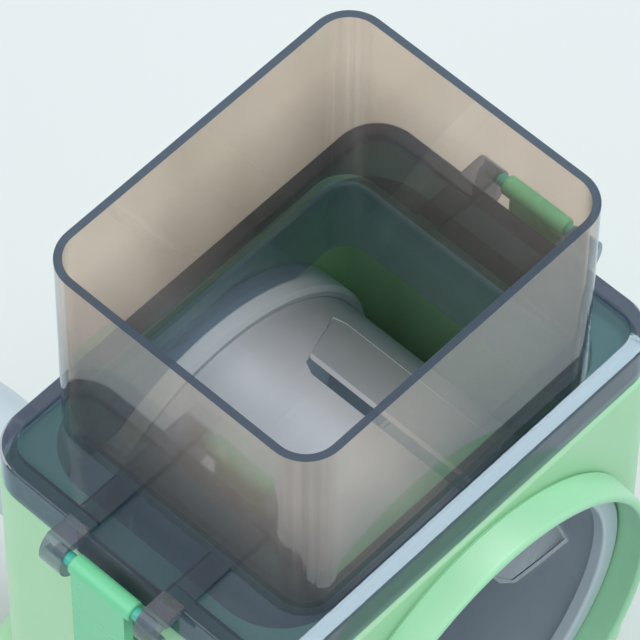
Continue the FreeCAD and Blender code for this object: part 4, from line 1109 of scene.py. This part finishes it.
# floor, lights and camera
room = {"floorSize": 6.0, "floorColour": (0.590, 0.640, 0.644), "floorShade": 0.985, "floorScale": 3.0,
        "floorRough": 0.7, "skyPlain": (0.95, 0.97, 1.0), "skySeen": (0.80, 0.88, 0.89),
        "skyMirrored": (0.38, 0.43, 0.48), "ambient": 0.66, "clipStart": 0.05, "clipEnd": 20.0}
lamps = [
    {"name": "key", "place": (0.50, -0.07, 1.25), "size": 0.5, "watts": 7.5, "colour": (1.0, 1.0, 1.0)},
    {"name": "side", "place": (-0.9, 0.15, 1.2), "size": 1.5, "watts": 11.2, "colour": (1.0, 0.92, 0.92)},
    {"name": "front", "place": (0.2, -1.6, 1.0), "size": 1.5, "watts": 7.5, "colour": (0.87, 1.0, 0.98)},
    {"name": "back", "place": (0.1, 1.5, 0.9), "size": 1.0, "watts": 2.0, "colour": (1.0, 1.0, 1.0)},
]
photoView = {
    "azimuth": -47.2512, "elevation": 55.8333, "roll": 0.6907, "distance": 1.08361,
    "right": 0.001635, "down": -0.017803, "focalPixels": 5500.0, "framePixels": 640.0, "sensor": 36.0,
}


def makeFloor():
    deselectAll()
    bpy.ops.mesh.primitive_plane_add(size=room["floorSize"], location=(0, 0, 0))
    floor = named("floor")
    material, tree = newTree("pale_floor")
    cloud = noise(tree, objectCoords(tree), room["floorScale"], 2.0)
    pale = room["floorColour"]
    colour = mixColour(tree, cloud, pale, [c * room["floorShade"] for c in pale])
    shadeWith(tree, "BsdfPrincipled", {"Base Color": colour, "Roughness": room["floorRough"]})
    paint(floor, material)


def makeWorld():
    # mirrors and the camera each see a sky of their own
    world = bpy.data.worlds.new("pale_room")
    world.use_nodes = True
    tree = world.node_tree
    tree.nodes.clear()
    path = addNode(tree, "LightPath").outputs
    seen = maths(tree, "MAXIMUM", path["Is Camera Ray"], path["Is Transmission Ray"])
    plain, mirrored, pale = [
        addNode(tree, "Background", {"Color": colour, "Strength": strength}).outputs[0]
        for colour, strength in ((room["skyPlain"], room["ambient"]), (room["skyMirrored"], 1.0),
                                 (room["skySeen"], 1.0))]
    both = addNode(tree, "MixShader", {0: path["Is Glossy Ray"], 1: plain, 2: mirrored}).outputs[0]
    full = addNode(tree, "MixShader", {0: seen, 1: both, 2: pale}).outputs[0]
    addNode(tree, "OutputWorld", {"Surface": full})
    bpy.context.scene.world = world


def makeLamps():
    aim = Vector((0, headY, rimZ / 2))
    for lamp in lamps:
        light = bpy.data.lights.new(lamp["name"], "AREA")
        light.size = lamp["size"]
        light.energy = lamp["watts"]
        light.color = lamp["colour"]
        holder = bpy.data.objects.new(lamp["name"], light)
        holder.location = lamp["place"]
        holder.rotation_mode = "QUATERNION"
        holder.rotation_quaternion = (aim - Vector(lamp["place"])).to_track_quat("-Z", "Y")
        bpy.context.scene.collection.objects.link(holder)


def makeCamera():
    # the view looks down at the middle of the hopper's rim
    azimuth, elevation, roll = [math.radians(photoView[k]) for k in ("azimuth", "elevation", "roll")]
    back = Vector((math.sin(azimuth) * math.cos(elevation), -math.cos(azimuth) * math.cos(elevation),
                   math.sin(elevation)))
    level = (-back).cross(Vector((0, 0, 1))).normalized()
    upright = level.cross(-back)
    right = level * math.cos(roll) + upright * math.sin(roll)
    up = upright * math.cos(roll) - level * math.sin(roll)
    place = Vector((0, headY, rimZ)) + back * photoView["distance"]
    place = place - right * photoView["right"] + up * photoView["down"]
    lens = bpy.data.cameras.new("photo_view")
    lens.sensor_width = photoView["sensor"]
    lens.lens = photoView["sensor"] * photoView["focalPixels"] / photoView["framePixels"]
    lens.clip_start = room["clipStart"]
    lens.clip_end = room["clipEnd"]
    camera = bpy.data.objects.new("photo_view", lens)
    turn = Matrix((right, up, back)).transposed()
    camera.matrix_world = Matrix.Translation(place) @ turn.to_4x4()
    bpy.context.scene.collection.objects.link(camera)
    bpy.context.scene.camera = camera


makeFloor()
makeWorld()
makeLamps()
makeCamera()
bpy.context.scene.view_settings.view_transform = "Standard"
print("room ready")
